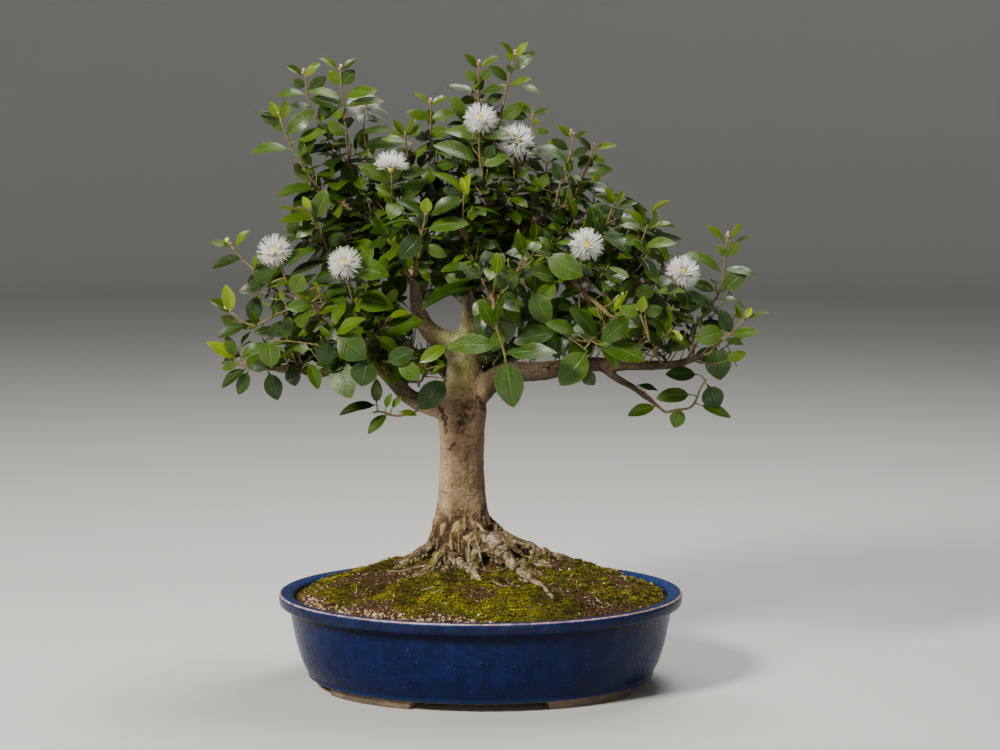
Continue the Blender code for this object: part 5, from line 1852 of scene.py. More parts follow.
def place_on_soil(draw, wood_tree, far=0.985):
    """A random place on the soil that no root covers."""
    while True:
        x = draw.uniform(-SOIL_HALF_WIDTH, SOIL_HALF_WIDTH)
        y = draw.uniform(-SOIL_HALF_DEPTH, SOIL_HALF_DEPTH)
        if soil_share(x, y) < far ** 2 and not ground_at(wood_tree, x, y)[1]:
            return x, y


def make_moss(wood_tree):
    draw = random.Random("moss places")
    templates = moss_templates()
    shape = bmesh.new()
    made = 0
    while made < MOSS_TUFTS:
        x, y = place_on_soil(draw, wood_tree)
        if draw.random() > 0.05 + mossy(x, y) ** 2 * (0.35 + 0.65 * cushion(x, y)):
            continue
        size = draw.uniform(0.6, 1.15)
        turn = Matrix.Rotation(draw.uniform(0, math.tau), 4, "Z")
        place = Matrix.Translation((x, y, soil_height(x, y) - 0.35)) @ turn @ Matrix.Scale(size, 4)
        form = draw.choice(templates)
        stamp(shape, form, place, tone=0.72 * moss_light(x, y) + 0.42 * draw.random() - 0.08)
        made += 1
    moss = object_from("moss_tufts", shape, [moss_green])
    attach(moss, "root")


def make_grit(wood_tree):
    """Pale and brown grains, thickest along the rim at the front left, and bits of dead twig."""
    draw = random.Random("grit places")
    templates = stone_templates()
    shape = bmesh.new()
    made = 0
    while made < GRIT_STONES:
        x, y = place_on_soil(draw, wood_tree)
        r2 = soil_share(x, y)
        rim = smoothstep(0.72, 0.95, r2) * smoothstep(45.0, -20.0, x) * smoothstep(20.0, -50.0, y)
        strewn = 0.5 * math.exp(-((x - 92.0) ** 2 + (y + 52.0) ** 2) / 24.0 ** 2)
        if draw.random() > 0.05 + 0.95 * rim + 0.25 * (1 - mossy(x, y)) + strewn:
            continue
        size = draw.uniform(0.5, 0.95) * draw.uniform(0.8, 1.5) * (1.0 + 0.9 * rim)
        angle = draw.uniform(0, math.tau)
        turn = Matrix.Rotation(angle, 4, Vector((draw.random(), draw.random(), 1.0)))
        middle = Matrix.Translation((x, y, soil_height(x, y) + size * 0.25))
        place = middle @ turn @ Matrix.Scale(size, 4)
        pale = min(1.0, draw.random() ** (0.8 if rim > 0.4 else 2.2))
        stamp(shape, draw.choice(templates), place, age=pale, tone=draw.random())
        made += 1
    for _ in range(DEAD_TWIGS):
        x, y = place_on_soil(draw, wood_tree, 0.93)
        length = draw.uniform(3.0, 9.0)
        turn = draw.uniform(0.0, math.pi)
        ahead = Vector((math.cos(turn), math.sin(turn), 0.0))
        points = []
        for i in range(4):
            swerve = Vector((draw.uniform(-0.5, 0.5), draw.uniform(-0.5, 0.5), 0))
            place = Vector((x, y, 0)) + ahead * (length * i / 3) + swerve
            if soil_share(place.x, place.y) < 0.95:
                points.append(Vector((place.x, place.y, soil_height(place.x, place.y) + 0.9)))
        if len(points) < 2:
            continue
        count = len(points)
        tube = tube_mesh(points, [0.42, 0.38, 0.32, 0.24][:count], 5,
                         age=[draw.uniform(0.1, 0.68)] * count, tone=[draw.random()] * count)
        take_in(shape, tube)
    grit = object_from("grit", shape, [grit_stone])
    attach(grit, "root")


def make_pot():
    """The glazed pot with its drain holes, and its four bare feet."""
    rings = [oval(width, height) for width, height in POT_PROFILE]
    pot = object_from("glazed_pot", sweep(rings), [blue_glaze, bare_clay])
    cutters = []
    for number, x in enumerate((-DRAIN_X, DRAIN_X)):
        hole = bmesh.new()
        bmesh.ops.create_cone(
            hole, cap_ends=True, segments=48, radius1=DRAIN_RADIUS, radius2=DRAIN_RADIUS,
            depth=30.0, matrix=Matrix.Translation((x, 0, 10.0)),
        )
        cutters.append(object_from("drain", hole, []))
        cut = pot.modifiers.new(f"drain_{number}", "BOOLEAN")
        cut.operation = "DIFFERENCE"
        cut.solver = "EXACT"
        cut.object = cutters[-1]
    applied(pot)
    for cutter in cutters:
        bpy.data.objects.remove(cutter)
    shape = bmesh.new()
    shape.from_mesh(pot.data)
    for first, last in FOOT_ARCS:
        if math.sin(math.radians(2.0 * first)) > 0.0:
            foot = foot_shape(first + FOOT_TRIM[0], last + FOOT_TRIM[1])
        else:
            foot = foot_shape(first - FOOT_TRIM[1], last - FOOT_TRIM[0])
        foot.transform(Matrix.Scale(MM, 4))
        use_material(foot, 1)
        take_in(shape, foot)
    shape.to_mesh(pot.data)
    shape.free()
    pot.data.shade_smooth()
    pot.data.set_sharp_from_angle(angle=math.radians(50))
    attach(pot, "root")
    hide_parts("pot")


def foot_shape(start, end):
    """One low foot, a block with rounded edges that follows the oval and narrows to the ground."""
    sections = []
    top = FOOT_HEIGHT + 2
    steps = 14
    for k in range(steps + 1):
        turn = math.radians(start + (end - start) * k / steps)
        inset = math.radians(1.6) * (1 - 2 * k / steps)
        section = []
        for wall, height in ((0, top), (FOOT_WALL, top), (FOOT_WALL - 2, 0), (1.2, 0)):
            angle = turn + (inset if height == 0 else 0.0)
            half_width = FOOT_HALF_WIDTH + 9.0 - wall
            x = half_width * math.cos(angle)
            y = (half_width - OVAL_DIFFERENCE) * math.sin(angle)
            section.append(Vector((x, y, height)))
        sections.append(section)
    foot = sweep(sections)
    edges = [edge for edge in foot.edges if edge.calc_face_angle(0.0) > math.radians(35)]
    bmesh.ops.bevel(
        foot, geom=edges, offset=0.8, offset_type="OFFSET", segments=3, affect="EDGES",
        profile=0.5, material=-1, clamp_overlap=True,
    )
    return mesh_from("foot", foot)


def stamen_template(bend, kink):
    """A fine curved thread with a small knob at its end, one unit long."""
    points = []
    for i in range(5):
        share = i / 4
        points.append(Vector((bend * share ** 2, kink * math.sin(math.pi * share), share)))
    radii = [0.036, 0.034, 0.031, 0.026, 0.018]
    thread = tube_mesh(points, radii, 3, age=[0.0, 0.3, 0.6, 0.9, 1.0])
    shape = bmesh.new()
    take_in(shape, thread)
    knob = Matrix.Translation(points[-1])
    bmesh.ops.create_icosphere(shape, subdivisions=1, radius=0.03, matrix=knob)
    layer = shape.verts.layers.float["age"]
    for vert in shape.verts:
        if (vert.co - points[-1]).length < 0.035:
            vert[layer] = 1.2
    return mesh_from("stamen", shape)


def make_bloom(stem, ball):
    """A brush of fine stamens round a yellow centre, on its green cup."""
    draw = random.Random("stamens " + stem.name)
    heading = stem.route.heading(stem.end)
    front = heading * 0.55 + Vector((0.0, -0.8, 0.2))
    aim, spread = BLOOM_AIMS.get(stem.name, (front, 108.0))
    aim = aim.normalized()
    frame_of_bloom = aim.to_track_quat("Z", "Y").to_matrix()
    forms = [stamen_template(draw.uniform(-0.2, 0.2), draw.uniform(-0.05, 0.05)) for _ in range(8)]
    base = stem.bloom - aim * 1.0
    shape = bmesh.new()
    for _ in range(STAMENS):
        tilt = math.acos(draw.uniform(math.cos(math.radians(spread)), math.cos(math.radians(21))))
        turn = draw.uniform(0.0, math.tau)
        flat = Vector((math.cos(turn), math.sin(turn), 0.0))
        way = frame_of_bloom @ (flat * math.sin(tilt) + Vector((0, 0, math.cos(tilt))))
        foot = base + frame_of_bloom @ (flat * draw.uniform(1.6, 2.8) * math.sin(tilt))
        length = (BLOOM_RADIUS - (foot - stem.bloom).dot(way)) * draw.uniform(0.45, 1.0) ** 0.6
        turned = way.to_track_quat("Z", "Y").to_matrix().to_4x4()
        spin = Matrix.Rotation(draw.uniform(0.0, math.tau), 4, "Z")
        place = Matrix.Translation(foot) @ turned @ spin @ Matrix.Scale(length * 0.985, 4)
        stamp(shape, draw.choice(forms), place, tone=draw.random())
    centre = Matrix.Translation(base + aim * 1.4) @ frame_of_bloom.to_4x4()
    stamp(shape, ball, centre @ Matrix.Diagonal((3.1, 3.1, 3.6, 1.0)), 1, age=0.2, tone=0.5)
    style = centre @ Matrix.Translation((0, 0, 4.0)) @ Matrix.Diagonal((0.5, 0.5, 4.0, 1.0))
    stamp(shape, ball, style, 1, age=0.8, tone=0.5)
    start = stem.route.at(stem.end - 1.0)
    cup = tube_mesh([start, start.lerp(base, 0.5), base + aim * 0.4], [1.3, 2.4, 2.9], 12,
                    age=[0.3, 0.4, 0.6], tone=[0.5] * 3)
    use_material(cup, 2)
    take_in(shape, cup)
    made = object_from("brush_" + stem.name, shape, [stamen_white, bloom_centre, bud_cup])
    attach(made, "root")
    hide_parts("bloom_" + stem.name.removesuffix("_flowering"))


class Paint:
    """A node tree that is built up by short calls."""

    def __init__(self, tree):
        self.tree = tree

    def feed(self, socket, value):
        if isinstance(value, bpy.types.NodeSocket):
            self.tree.links.new(value, socket)
        elif socket.type == "RGBA" and len(value) == 3:
            socket.default_value = (*value, 1.0)
        else:
            socket.default_value = value

    def node(self, kind, inputs=(), **settings):
        made = self.tree.nodes.new(kind)
        for name, value in settings.items():
            setattr(made, name, value)
        for name, value in dict(inputs).items():
            self.feed(made.inputs[name], value)
        return made

    def run(self, kind, inputs, output=0, **settings):
        """An output of a new node, whose inputs go by their names or numbers."""
        return self.node(kind, inputs, **settings).outputs[output]

    def reckon(self, operation, *values):
        """One sum, product or other step of arithmetic."""
        return self.run("ShaderNodeMath", enumerate(values), operation=operation)

    def times(self, first, second):
        return self.reckon("MULTIPLY", first, second)

    def plus(self, first, second):
        return self.reckon("ADD", first, second)

    def minus(self, first, second):
        return self.reckon("SUBTRACT", first, second)

    def ramp(self, value, low, high, start=0.0, end=1.0):
        """Start at the low value, end at the high one, and a smooth change between."""
        numbers = enumerate((value, low, high, start, end))
        return self.run("ShaderNodeMapRange", numbers, interpolation_type="SMOOTHSTEP")

    def blend(self, share, first, second, strength=None):
        """The second colour laid over the first, by the share times the strength."""
        if strength is not None:
            share = self.times(share, strength)
        return self.run("ShaderNodeMix", {0: share, 6: first, 7: second}, 2, data_type="RGBA")

    def tint(self, colour, brightness, hue=0.5, saturation=1.0):
        return self.run("ShaderNodeHueSaturation", {
            "Color": colour, "Value": brightness, "Hue": hue, "Saturation": saturation,
        })

    def attribute(self, name):
        return self.run("ShaderNodeAttribute", (), "Fac", attribute_name=name)

    def steps(self, value, *stops):
        """A colour for each value, from stops of a position and a colour."""
        made = self.node("ShaderNodeValToRGB", {"Fac": value})
        ramp = made.color_ramp
        while len(ramp.elements) < len(stops):
            ramp.elements.new(0.5)
        for element, (position, colour) in zip(ramp.elements, stops):
            element.position = position
            element.color = (*colour, 1.0)
        return made.outputs[0]

    def object_place(self):
        return self.run("ShaderNodeTexCoord", (), "Object")

    def x_y_z(self):
        """Where a place is on the object, in metres."""
        return self.node("ShaderNodeSeparateXYZ", {"Vector": self.object_place()}).outputs

    def patches(self, scale, detail, low, high, stretch=(1.0, 1.0, 1.0)):
        """Soft-edged patches of noise, longer where the stretch is small."""
        return self.run("ShaderNodeGroup", {
            "Scale": scale, "Detail": detail, "Low": low, "High": high, "Stretch": stretch,
        }, node_tree=patch_group)

    def specks(self, scale, size, share):
        """Small round specks, of which this share is there."""
        inputs = {"Scale": scale, "Size": size, "Share": share}
        return self.run("ShaderNodeGroup", inputs, node_tree=speck_group)


def shared_effect(name, build, **inputs):
    """A group with one output, a mask, and float inputs. A tuple makes a vector input."""
    tree = bpy.data.node_groups.new(name, "ShaderNodeTree")
    for label, value in inputs.items():
        kind = "NodeSocketVector" if isinstance(value, tuple) else "NodeSocketFloat"
        socket = tree.interface.new_socket(label, in_out="INPUT", socket_type=kind)
        socket.default_value = value
    tree.interface.new_socket("Mask", in_out="OUTPUT", socket_type="NodeSocketFloat")
    paint = Paint(tree)
    given = paint.node("NodeGroupInput").outputs
    end = paint.node("NodeGroupOutput")
    tree.links.new(build(paint, given), end.inputs[0])
    return tree


def patch_mask(paint, given):
    """Soft-edged patches of noise."""
    stretched = paint.run("ShaderNodeVectorMath", {
        0: paint.object_place(), 1: given["Stretch"],
    }, operation="MULTIPLY")
    cloud = paint.node("ShaderNodeTexNoise", {
        "Vector": stretched, "Scale": given["Scale"], "Detail": given["Detail"],
        "Roughness": 0.55, "Distortion": 0.3,
    })
    return paint.ramp(cloud.outputs["Fac"], given["Low"], given["High"])


def dot_mask(paint, given):
    """Small round specks of uneven size, most of them missing."""
    cells = paint.node("ShaderNodeTexVoronoi", {
        "Vector": paint.object_place(), "Scale": given["Scale"],
    })
    chance = paint.node("ShaderNodeSeparateColor", {"Color": cells.outputs["Color"]})
    size = paint.times(chance.outputs[1], given["Size"])
    dot = paint.ramp(paint.reckon("DIVIDE", cells.outputs["Distance"], size), 1.0, 0.5)
    kept = paint.reckon("LESS_THAN", chance.outputs[0], given["Share"])
    return paint.times(dot, kept)


patch_group = shared_effect(
    "patches", patch_mask, Scale=100.0, Detail=4.0, Low=0.4, High=0.6, Stretch=(1.0, 1.0, 1.0),
)
speck_group = shared_effect("specks", dot_mask, Scale=400.0, Size=0.4, Share=0.2)


def make_material(name, build, **constants):
    """A Principled material, from its colour, its roughness, and its bumps and their depth."""
    made = bpy.data.materials.new(name)
    made.use_nodes = True
    paint = Paint(made.node_tree)
    shader = made.node_tree.nodes["Principled BSDF"]
    for label, value in constants.items():
        paint.feed(shader.inputs[label.replace("_", " ")], value)
    colour, roughness, height, depth = build(paint)
    paint.feed(shader.inputs["Base Color"], colour)
    paint.feed(shader.inputs["Roughness"], roughness)
    if height is not None:
        bump = paint.node("ShaderNodeBump", {"Height": height, "Distance": depth, "Strength": 1.0})
        paint.feed(shader.inputs["Normal"], bump.outputs[0])
    made.diffuse_color = (0.5, 0.5, 0.5, 1.0)
    return made


def look_of_leaf(paint):
    """Waxy green with a pale midrib and fainter side veins. Young leaves are lime."""
    chart = paint.run("ShaderNodeUVMap", (), uv_map="blade")
    along, across, _ = paint.node("ShaderNodeSeparateXYZ", {"Vector": chart}).outputs
    middle = paint.reckon("ABSOLUTE", paint.minus(across, 0.5))
    rib = paint.ramp(middle, 0.018, 0.06, 1.0, 0.0)
    phase = paint.reckon("FRACT", paint.minus(paint.times(along, 9.0), paint.times(middle, 4.2)))
    vein = paint.ramp(paint.reckon("ABSOLUTE", paint.minus(phase, 0.5)), 0.03, 0.14, 1.0, 0.0)
    vein = paint.times(vein, paint.ramp(middle, 0.44, 0.3))
    rim = paint.reckon("MAXIMUM", paint.ramp(middle, 0.4, 0.5), paint.ramp(along, 0.85, 1.0))
    age = paint.attribute("age")
    tone = paint.attribute("tone")
    green = paint.steps(
        age, (0.0, (0.23, 0.33, 0.003)), (0.3, (0.044, 0.09, 0.001)), (0.6, (0.025, 0.06, 0.001)),
        (1.0, (0.02, 0.052, 0.003)),
    )
    blotch = paint.patches(160.0, 3.0, 0.35, 0.68)
    green = paint.blend(blotch, green, paint.tint(green, 1.35, 0.492), 0.35)
    bright = paint.ramp(tone, 0.0, 1.0, 0.5, 1.6)
    green = paint.tint(green, bright, paint.ramp(tone, 0.0, 1.0, 0.51, 0.488))
    pale = paint.tint(green, paint.ramp(age, 0.0, 0.7, 1.35, 2.1), 0.482, 0.95)
    green = paint.blend(rim, green, pale, 0.35)
    green = paint.blend(vein, green, pale, 0.2)
    green = paint.blend(rib, green, pale, 0.5)
    under = paint.attribute("under")
    dull = paint.blend(0.35, paint.tint(green, 1.3, 0.49, 0.9), (0.06, 0.1, 0.008))
    green = paint.blend(under, green, dull)
    rough = paint.plus(paint.ramp(blotch, 0.0, 1.0, 0.3, 0.46), paint.times(under, 0.25))
    height = paint.plus(paint.times(rib, -1.0), paint.times(vein, -0.2))
    return green, rough, height, 0.00035


def look_of_twig(paint):
    """Orange-brown where the shoot is young, grey-brown where it is old."""
    age = paint.attribute("age")
    wood = paint.steps(
        age, (0.0, (0.17, 0.17, 0.015)), (0.14, (0.16, 0.11, 0.018)), (0.6, (0.14, 0.096, 0.03)),
        (1.0, (0.085, 0.06, 0.034)),
    )
    flecks = paint.patches(520.0, 5.0, 0.35, 0.65)
    wood = paint.blend(flecks, paint.tint(wood, 0.62), paint.tint(wood, 1.25, 0.5, 0.85))
    return wood, 0.62, flecks, 0.0003


def look_of_bark(paint):
    """Tan bark in plates at the foot, brown towards the right partly as painted shade, with painted
    shade on the limbs and in the cracks, hollows and scars.
    """
    x, _, z = paint.x_y_z()
    crust = paint.attribute("crust")
    root = paint.attribute("root")
    long_streaks = paint.patches(110.0, 6.0, 0.3, 0.7, (1.0, 1.0, 0.16))
    cloud = paint.patches(46.0, 4.0, 0.36, 0.64)
    fine = paint.patches(420.0, 6.0, 0.32, 0.68, (1.0, 1.0, 0.7))
    pores = paint.specks(300.0, 0.5, 0.16)
    tan = paint.blend(cloud, (0.48, 0.335, 0.19), (0.68, 0.515, 0.32))
    tan = paint.blend(long_streaks, tan, (0.33, 0.205, 0.105), 0.5)
    wrinkles = paint.patches(150.0, 3.0, 0.52, 0.66, (0.5, 0.5, 1.5))
    tan = paint.blend(wrinkles, tan, (0.22, 0.13, 0.07), 0.2)
    # Brown towards the right of the trunk, darkest near its middle: partly the bark's own colour,
    # partly painted shade on the side away from the key light.
    right = paint.ramp(x, -0.0305, -0.0185)
    high = paint.ramp(z, 0.235, 0.3)
    middle = paint.ramp(x, -0.006, -0.014)
    brown = paint.blend(cloud, (0.2, 0.122, 0.062), (0.36, 0.24, 0.14))
    darker = paint.blend(cloud, (0.145, 0.088, 0.044), (0.28, 0.185, 0.105))
    brown = paint.blend(middle, brown, darker)
    tan = paint.blend(right, tan, brown, 0.9)
    tan = paint.blend(high, tan, paint.blend(fine, (0.2, 0.15, 0.09), (0.42, 0.34, 0.22)), 0.75)
    aside = paint.reckon("ABSOLUTE", paint.plus(x, 0.013))
    lichen = paint.times(paint.ramp(aside, 0.026, 0.016), paint.ramp(z, 0.23, 0.246))
    olive = paint.blend(cloud, (0.29, 0.275, 0.14), (0.56, 0.54, 0.32))
    # Painted shade: the right half of the olive top of the trunk darker.
    olive = paint.blend(paint.ramp(x, -0.018, -0.008), olive, (0.13, 0.11, 0.045))
    tan = paint.blend(lichen, tan, olive, 0.7)
    # Painted shade of the crown on the limbs where they leave the trunk.
    limb = paint.times(paint.ramp(aside, 0.0125, 0.0215), paint.ramp(z, 0.216, 0.23))
    limb = paint.times(limb, paint.ramp(z, 0.278, 0.266))
    painted_limb_shade = paint.blend(fine, (0.026, 0.017, 0.008), (0.09, 0.064, 0.034))
    tan = paint.blend(limb, tan, painted_limb_shade, 0.9)
    plate = paint.steps(
        paint.attribute("pale"), (0.0, (0.035, 0.02, 0.008)), (0.36, (0.12, 0.066, 0.024)),
        (0.62, (0.27, 0.165, 0.062)), (0.97, (0.7, 0.51, 0.27)),
    )
    grey = paint.steps(
        paint.attribute("pale"), (0.1, (0.04, 0.024, 0.01)), (0.5, (0.115, 0.076, 0.034)),
        (0.7, (0.32, 0.235, 0.12)), (0.95, (0.72, 0.57, 0.34)),
    )
    colour = paint.blend(crust, tan, plate)
    colour = paint.blend(root, colour, grey, 0.85)
    colour = paint.blend(fine, colour, paint.tint(colour, 0.45), 0.45)
    colour = paint.blend(pores, colour, (0.09, 0.05, 0.03), 0.55)
    # Painted shade in the cracks, pits, gaps, hollows and scars, from the dark attribute, with
    # ragged edges.
    ragged = paint.times(paint.minus(fine, 0.5), 0.3)
    dark = paint.ramp(paint.plus(paint.attribute("dark"), ragged), 0.05, 1.0)
    colour = paint.blend(dark, colour, (0.046, 0.027, 0.013), 0.88)
    moss = paint.blend(fine, (0.05, 0.055, 0.006), (0.26, 0.25, 0.02))
    mossy_part = paint.times(paint.attribute("moss"), paint.ramp(fine, 0.0, 1.0, 0.65, 1.0))
    colour = paint.blend(mossy_part, colour, moss)
    height = paint.plus(paint.times(long_streaks, -0.6), fine)
    height = paint.minus(height, wrinkles)
    return colour, 0.78, height, 0.001


def look_of_rootlet(paint):
    tone = paint.attribute("tone")
    fine = paint.patches(500.0, 4.0, 0.3, 0.7)
    wide = paint.patches(210.0, 3.0, 0.5, 0.62)
    colour = paint.steps(
        tone, (0.0, (0.68, 0.55, 0.36)), (0.35, (0.44, 0.33, 0.19)), (0.8, (0.13, 0.08, 0.035)),
    )
    colour = paint.blend(wide, colour, (0.15, 0.09, 0.04), 0.4)
    green = paint.patches(75.0, 4.0, 0.56, 0.66)
    colour = paint.blend(green, colour, (0.13, 0.12, 0.012), 0.7)
    # Painted shade: dark where the root is bitten or split between its plates.
    colour = paint.blend(paint.attribute("age"), (0.03, 0.018, 0.01), colour)
    return paint.blend(fine, paint.tint(colour, 0.5), colour), 0.8, fine, 0.0008


def look_of_earth(paint):
    """Damp brown crumbs between patches of moss."""
    moss = paint.attribute("moss")
    grain = paint.patches(620.0, 5.0, 0.33, 0.66)
    cloud = paint.patches(70.0, 4.0, 0.35, 0.65)
    soil = paint.blend(grain, (0.022, 0.011, 0.004), (0.17, 0.095, 0.04))
    soil = paint.blend(paint.specks(420.0, 0.6, 0.2), soil, (0.4, 0.32, 0.22))
    light = paint.attribute("light")
    lit = paint.blend(light, (0.11, 0.085, 0.006), (0.42, 0.38, 0.01))
    green = paint.blend(grain, (0.035, 0.032, 0.002), lit)
    green = paint.blend(cloud, paint.tint(green, 0.6), green)
    patchy = paint.ramp(paint.plus(moss, paint.times(grain, 0.3)), 0.35, 0.75)
    return paint.blend(patchy, soil, green), 0.92, grain, 0.0012


def look_of_moss(paint):
    age = paint.attribute("age")
    tone = paint.attribute("tone")
    # Darker towards the foot of each shoot, as painted shade between the shoots.
    low = paint.blend(tone, (0.014, 0.011, 0.001), (0.09, 0.07, 0.004))
    tips = paint.steps(
        tone, (0.12, (0.08, 0.055, 0.008)), (0.42, (0.2, 0.2, 0.006)), (0.9, (0.95, 0.86, 0.04)),
    )
    wide = paint.patches(60.0, 4.0, 0.36, 0.56)
    colour = paint.blend(paint.ramp(age, 0.1, 0.8), low, tips)
    old = paint.tint(paint.blend(0.55, colour, (0.1, 0.055, 0.014)), 0.5)
    return paint.blend(wide, old, colour), 0.75, None, 0.0


def look_of_grit(paint):
    age = paint.attribute("age")
    tone = paint.attribute("tone")
    brown = paint.blend(tone, (0.06, 0.03, 0.012), (0.34, 0.17, 0.06))
    cream = paint.steps(
        tone, (0.0, (0.8, 0.72, 0.54)), (0.5, (0.66, 0.54, 0.34)), (1.0, (0.42, 0.26, 0.14)),
    )
    fine = paint.patches(700.0, 3.0, 0.3, 0.7)
    colour = paint.blend(paint.ramp(age, 0.25, 0.75), brown, cream)
    return paint.blend(paint.times(fine, 0.4), colour, paint.tint(colour, 0.5)), 0.8, fine, 0.0003


def look_of_glaze(paint):
    """Cobalt glaze with lighter runs and specks, painted shade low down and under the rim, a
    painted reflection on top of the rim, and a thin pale edge line that is partly thin glaze and
    partly a painted highlight.
    """
    x, y, z = paint.x_y_z()
    runs = paint.patches(60.0, 5.0, 0.36, 0.72, (1.0, 1.0, 0.3))
    cloud = paint.patches(150.0, 6.0, 0.42, 0.7)
    fine = paint.patches(700.0, 3.0, 0.35, 0.65)
    blue = paint.blend(runs, (0.0017, 0.0054, 0.035), (0.003, 0.01, 0.062))
    blue = paint.blend(cloud, blue, (0.005, 0.017, 0.1), 0.35)
    # Painted shade: the glaze darker towards the bottom of the wall.
    blue = paint.blend(paint.ramp(z, 0.03, 0.009, 0.0, 0.6), blue, (0.002, 0.005, 0.03))
    # Painted shade under the rim's collar: the glaze darker just below it.
    shade_under_rim = paint.times(paint.ramp(z, 0.0535, 0.0615), paint.ramp(z, 0.0655, 0.0635))
    blue = paint.blend(shade_under_rim, blue, (0.001, 0.002, 0.008), 0.75)
    blue = paint.blend(paint.ramp(z, 0.064, 0.067), blue, paint.tint(blue, 0.85, 0.5, 0.9))
    light = paint.specks(420.0, 0.36, 0.36)
    blue = paint.blend(light, blue, (0.05, 0.1, 0.25), 0.42)
    low_edge = paint.times(paint.ramp(z, 0.0074, 0.0088), paint.ramp(z, 0.0112, 0.0096))
    blue = paint.blend(low_edge, blue, (0.008, 0.03, 0.1), 0.35)
    # Painted reflection: the top of the rim a lighter blue.
    top = paint.ramp(z, 0.0709, 0.0722)
    blue = paint.blend(top, blue, paint.blend(cloud, (0.006, 0.024, 0.11), (0.014, 0.045, 0.17)))
    # A pale line along the outer edge of the rim top, broken in patches: pinkish where the glaze
    # wears thin, whitish as a painted highlight.
    x2 = paint.reckon("POWER", paint.reckon("DIVIDE", x, 0.1592), 2.0)
    y2 = paint.reckon("POWER", paint.reckon("DIVIDE", y, 0.1327), 2.0)
    out = paint.reckon("SQRT", paint.plus(x2, y2))
    line = paint.times(paint.ramp(out, 0.9945, 0.9968), paint.ramp(z, 0.07225, 0.0728))
    line_wear_and_highlight = paint.patches(90.0, 4.0, 0.25, 0.5)
    line = paint.times(line, paint.ramp(line_wear_and_highlight, 0.0, 1.0, 0.3, 1.0))
    blue = paint.blend(line, blue, paint.blend(cloud, (0.42, 0.24, 0.18), (0.62, 0.53, 0.55)))
    bare = paint.ramp(z, 0.0078, 0.0072)
    blue = paint.blend(bare, blue, (0.2, 0.14, 0.09))
    rough = paint.ramp(fine, 0.0, 1.0, 0.24, 0.34)
    rough = paint.plus(rough, paint.times(bare, 0.45))
    return blue, rough, paint.plus(paint.times(cloud, 0.8), light), 0.0002


def look_of_clay(paint):
    cloud = paint.patches(130.0, 5.0, 0.35, 0.65)
    fine = paint.patches(900.0, 3.0, 0.3, 0.7)
    clay = paint.blend(cloud, (0.11, 0.08, 0.055), (0.19, 0.145, 0.1))
    clay = paint.blend(paint.specks(600.0, 0.5, 0.15), clay, (0.1, 0.06, 0.04))
    return clay, 0.85, fine, 0.0002


def look_of_stamen(paint):
    age = paint.attribute("age")
    thread = paint.steps(
        age, (0.0, (0.62, 0.62, 0.2)), (0.16, (0.92, 0.9, 0.62)), (0.36, (1.0, 0.99, 0.93)),
    )
    return paint.blend(paint.ramp(age, 1.02, 1.1), thread, (1.0, 0.97, 0.84)), 0.6, None, 0.0


def look_of_centre(paint):
    fine = paint.patches(900.0, 2.0, 0.3, 0.7)
    return paint.blend(fine, (0.55, 0.48, 0.03), (0.85, 0.74, 0.08)), 0.6, fine, 0.0002


def look_of_bud(paint):
    age = paint.attribute("age")
    fine = paint.patches(450.0, 3.0, 0.35, 0.65)
    pink = paint.blend(fine, (0.66, 0.28, 0.22), (0.85, 0.6, 0.48))
    yellow = paint.blend(fine, (0.42, 0.44, 0.08), (0.62, 0.58, 0.14))
    return paint.blend(age, yellow, pink), 0.45, fine, 0.0001


def look_of_cup(paint):
    fine = paint.patches(450.0, 3.0, 0.35, 0.65)
    colour = paint.blend(paint.attribute("age"), (0.3, 0.1, 0.05), (0.3, 0.36, 0.08))
    return colour, 0.5, fine, 0.0002


def look_of_plastic(paint):
    fine = paint.patches(500.0, 2.0, 0.3, 0.7)
    return paint.blend(fine, (0.016, 0.016, 0.017), (0.028, 0.028, 0.03)), 0.5, fine, 0.0001


leaf_green = make_material("leaf_green", look_of_leaf, IOR=1.37)
twig_bark = make_material("twig_bark", look_of_twig)
wood_bark = make_material("wood_bark", look_of_bark, Specular_IOR_Level=0.3)
rootlet_bark = make_material("rootlet_bark", look_of_rootlet, Specular_IOR_Level=0.3)
earth = make_material("earth", look_of_earth, Specular_IOR_Level=0.25)
moss_green = make_material("moss_green", look_of_moss, Specular_IOR_Level=0.2)
grit_stone = make_material("grit_stone", look_of_grit, Specular_IOR_Level=0.3)
blue_glaze = make_material("blue_glaze", look_of_glaze, IOR=1.23)
bare_clay = make_material("bare_clay", look_of_clay, Specular_IOR_Level=0.3)
stamen_white = make_material(
    "stamen_white", look_of_stamen, Subsurface_Weight=0.85, Subsurface_Radius=(1.0, 0.97, 0.9),
    Subsurface_Scale=0.008,
)
bloom_centre = make_material("bloom_centre", look_of_centre)
bud_petal = make_material("bud_petal", look_of_bud)
bud_cup = make_material("bud_cup", look_of_cup)
screen_plastic = make_material("screen_plastic", look_of_plastic)

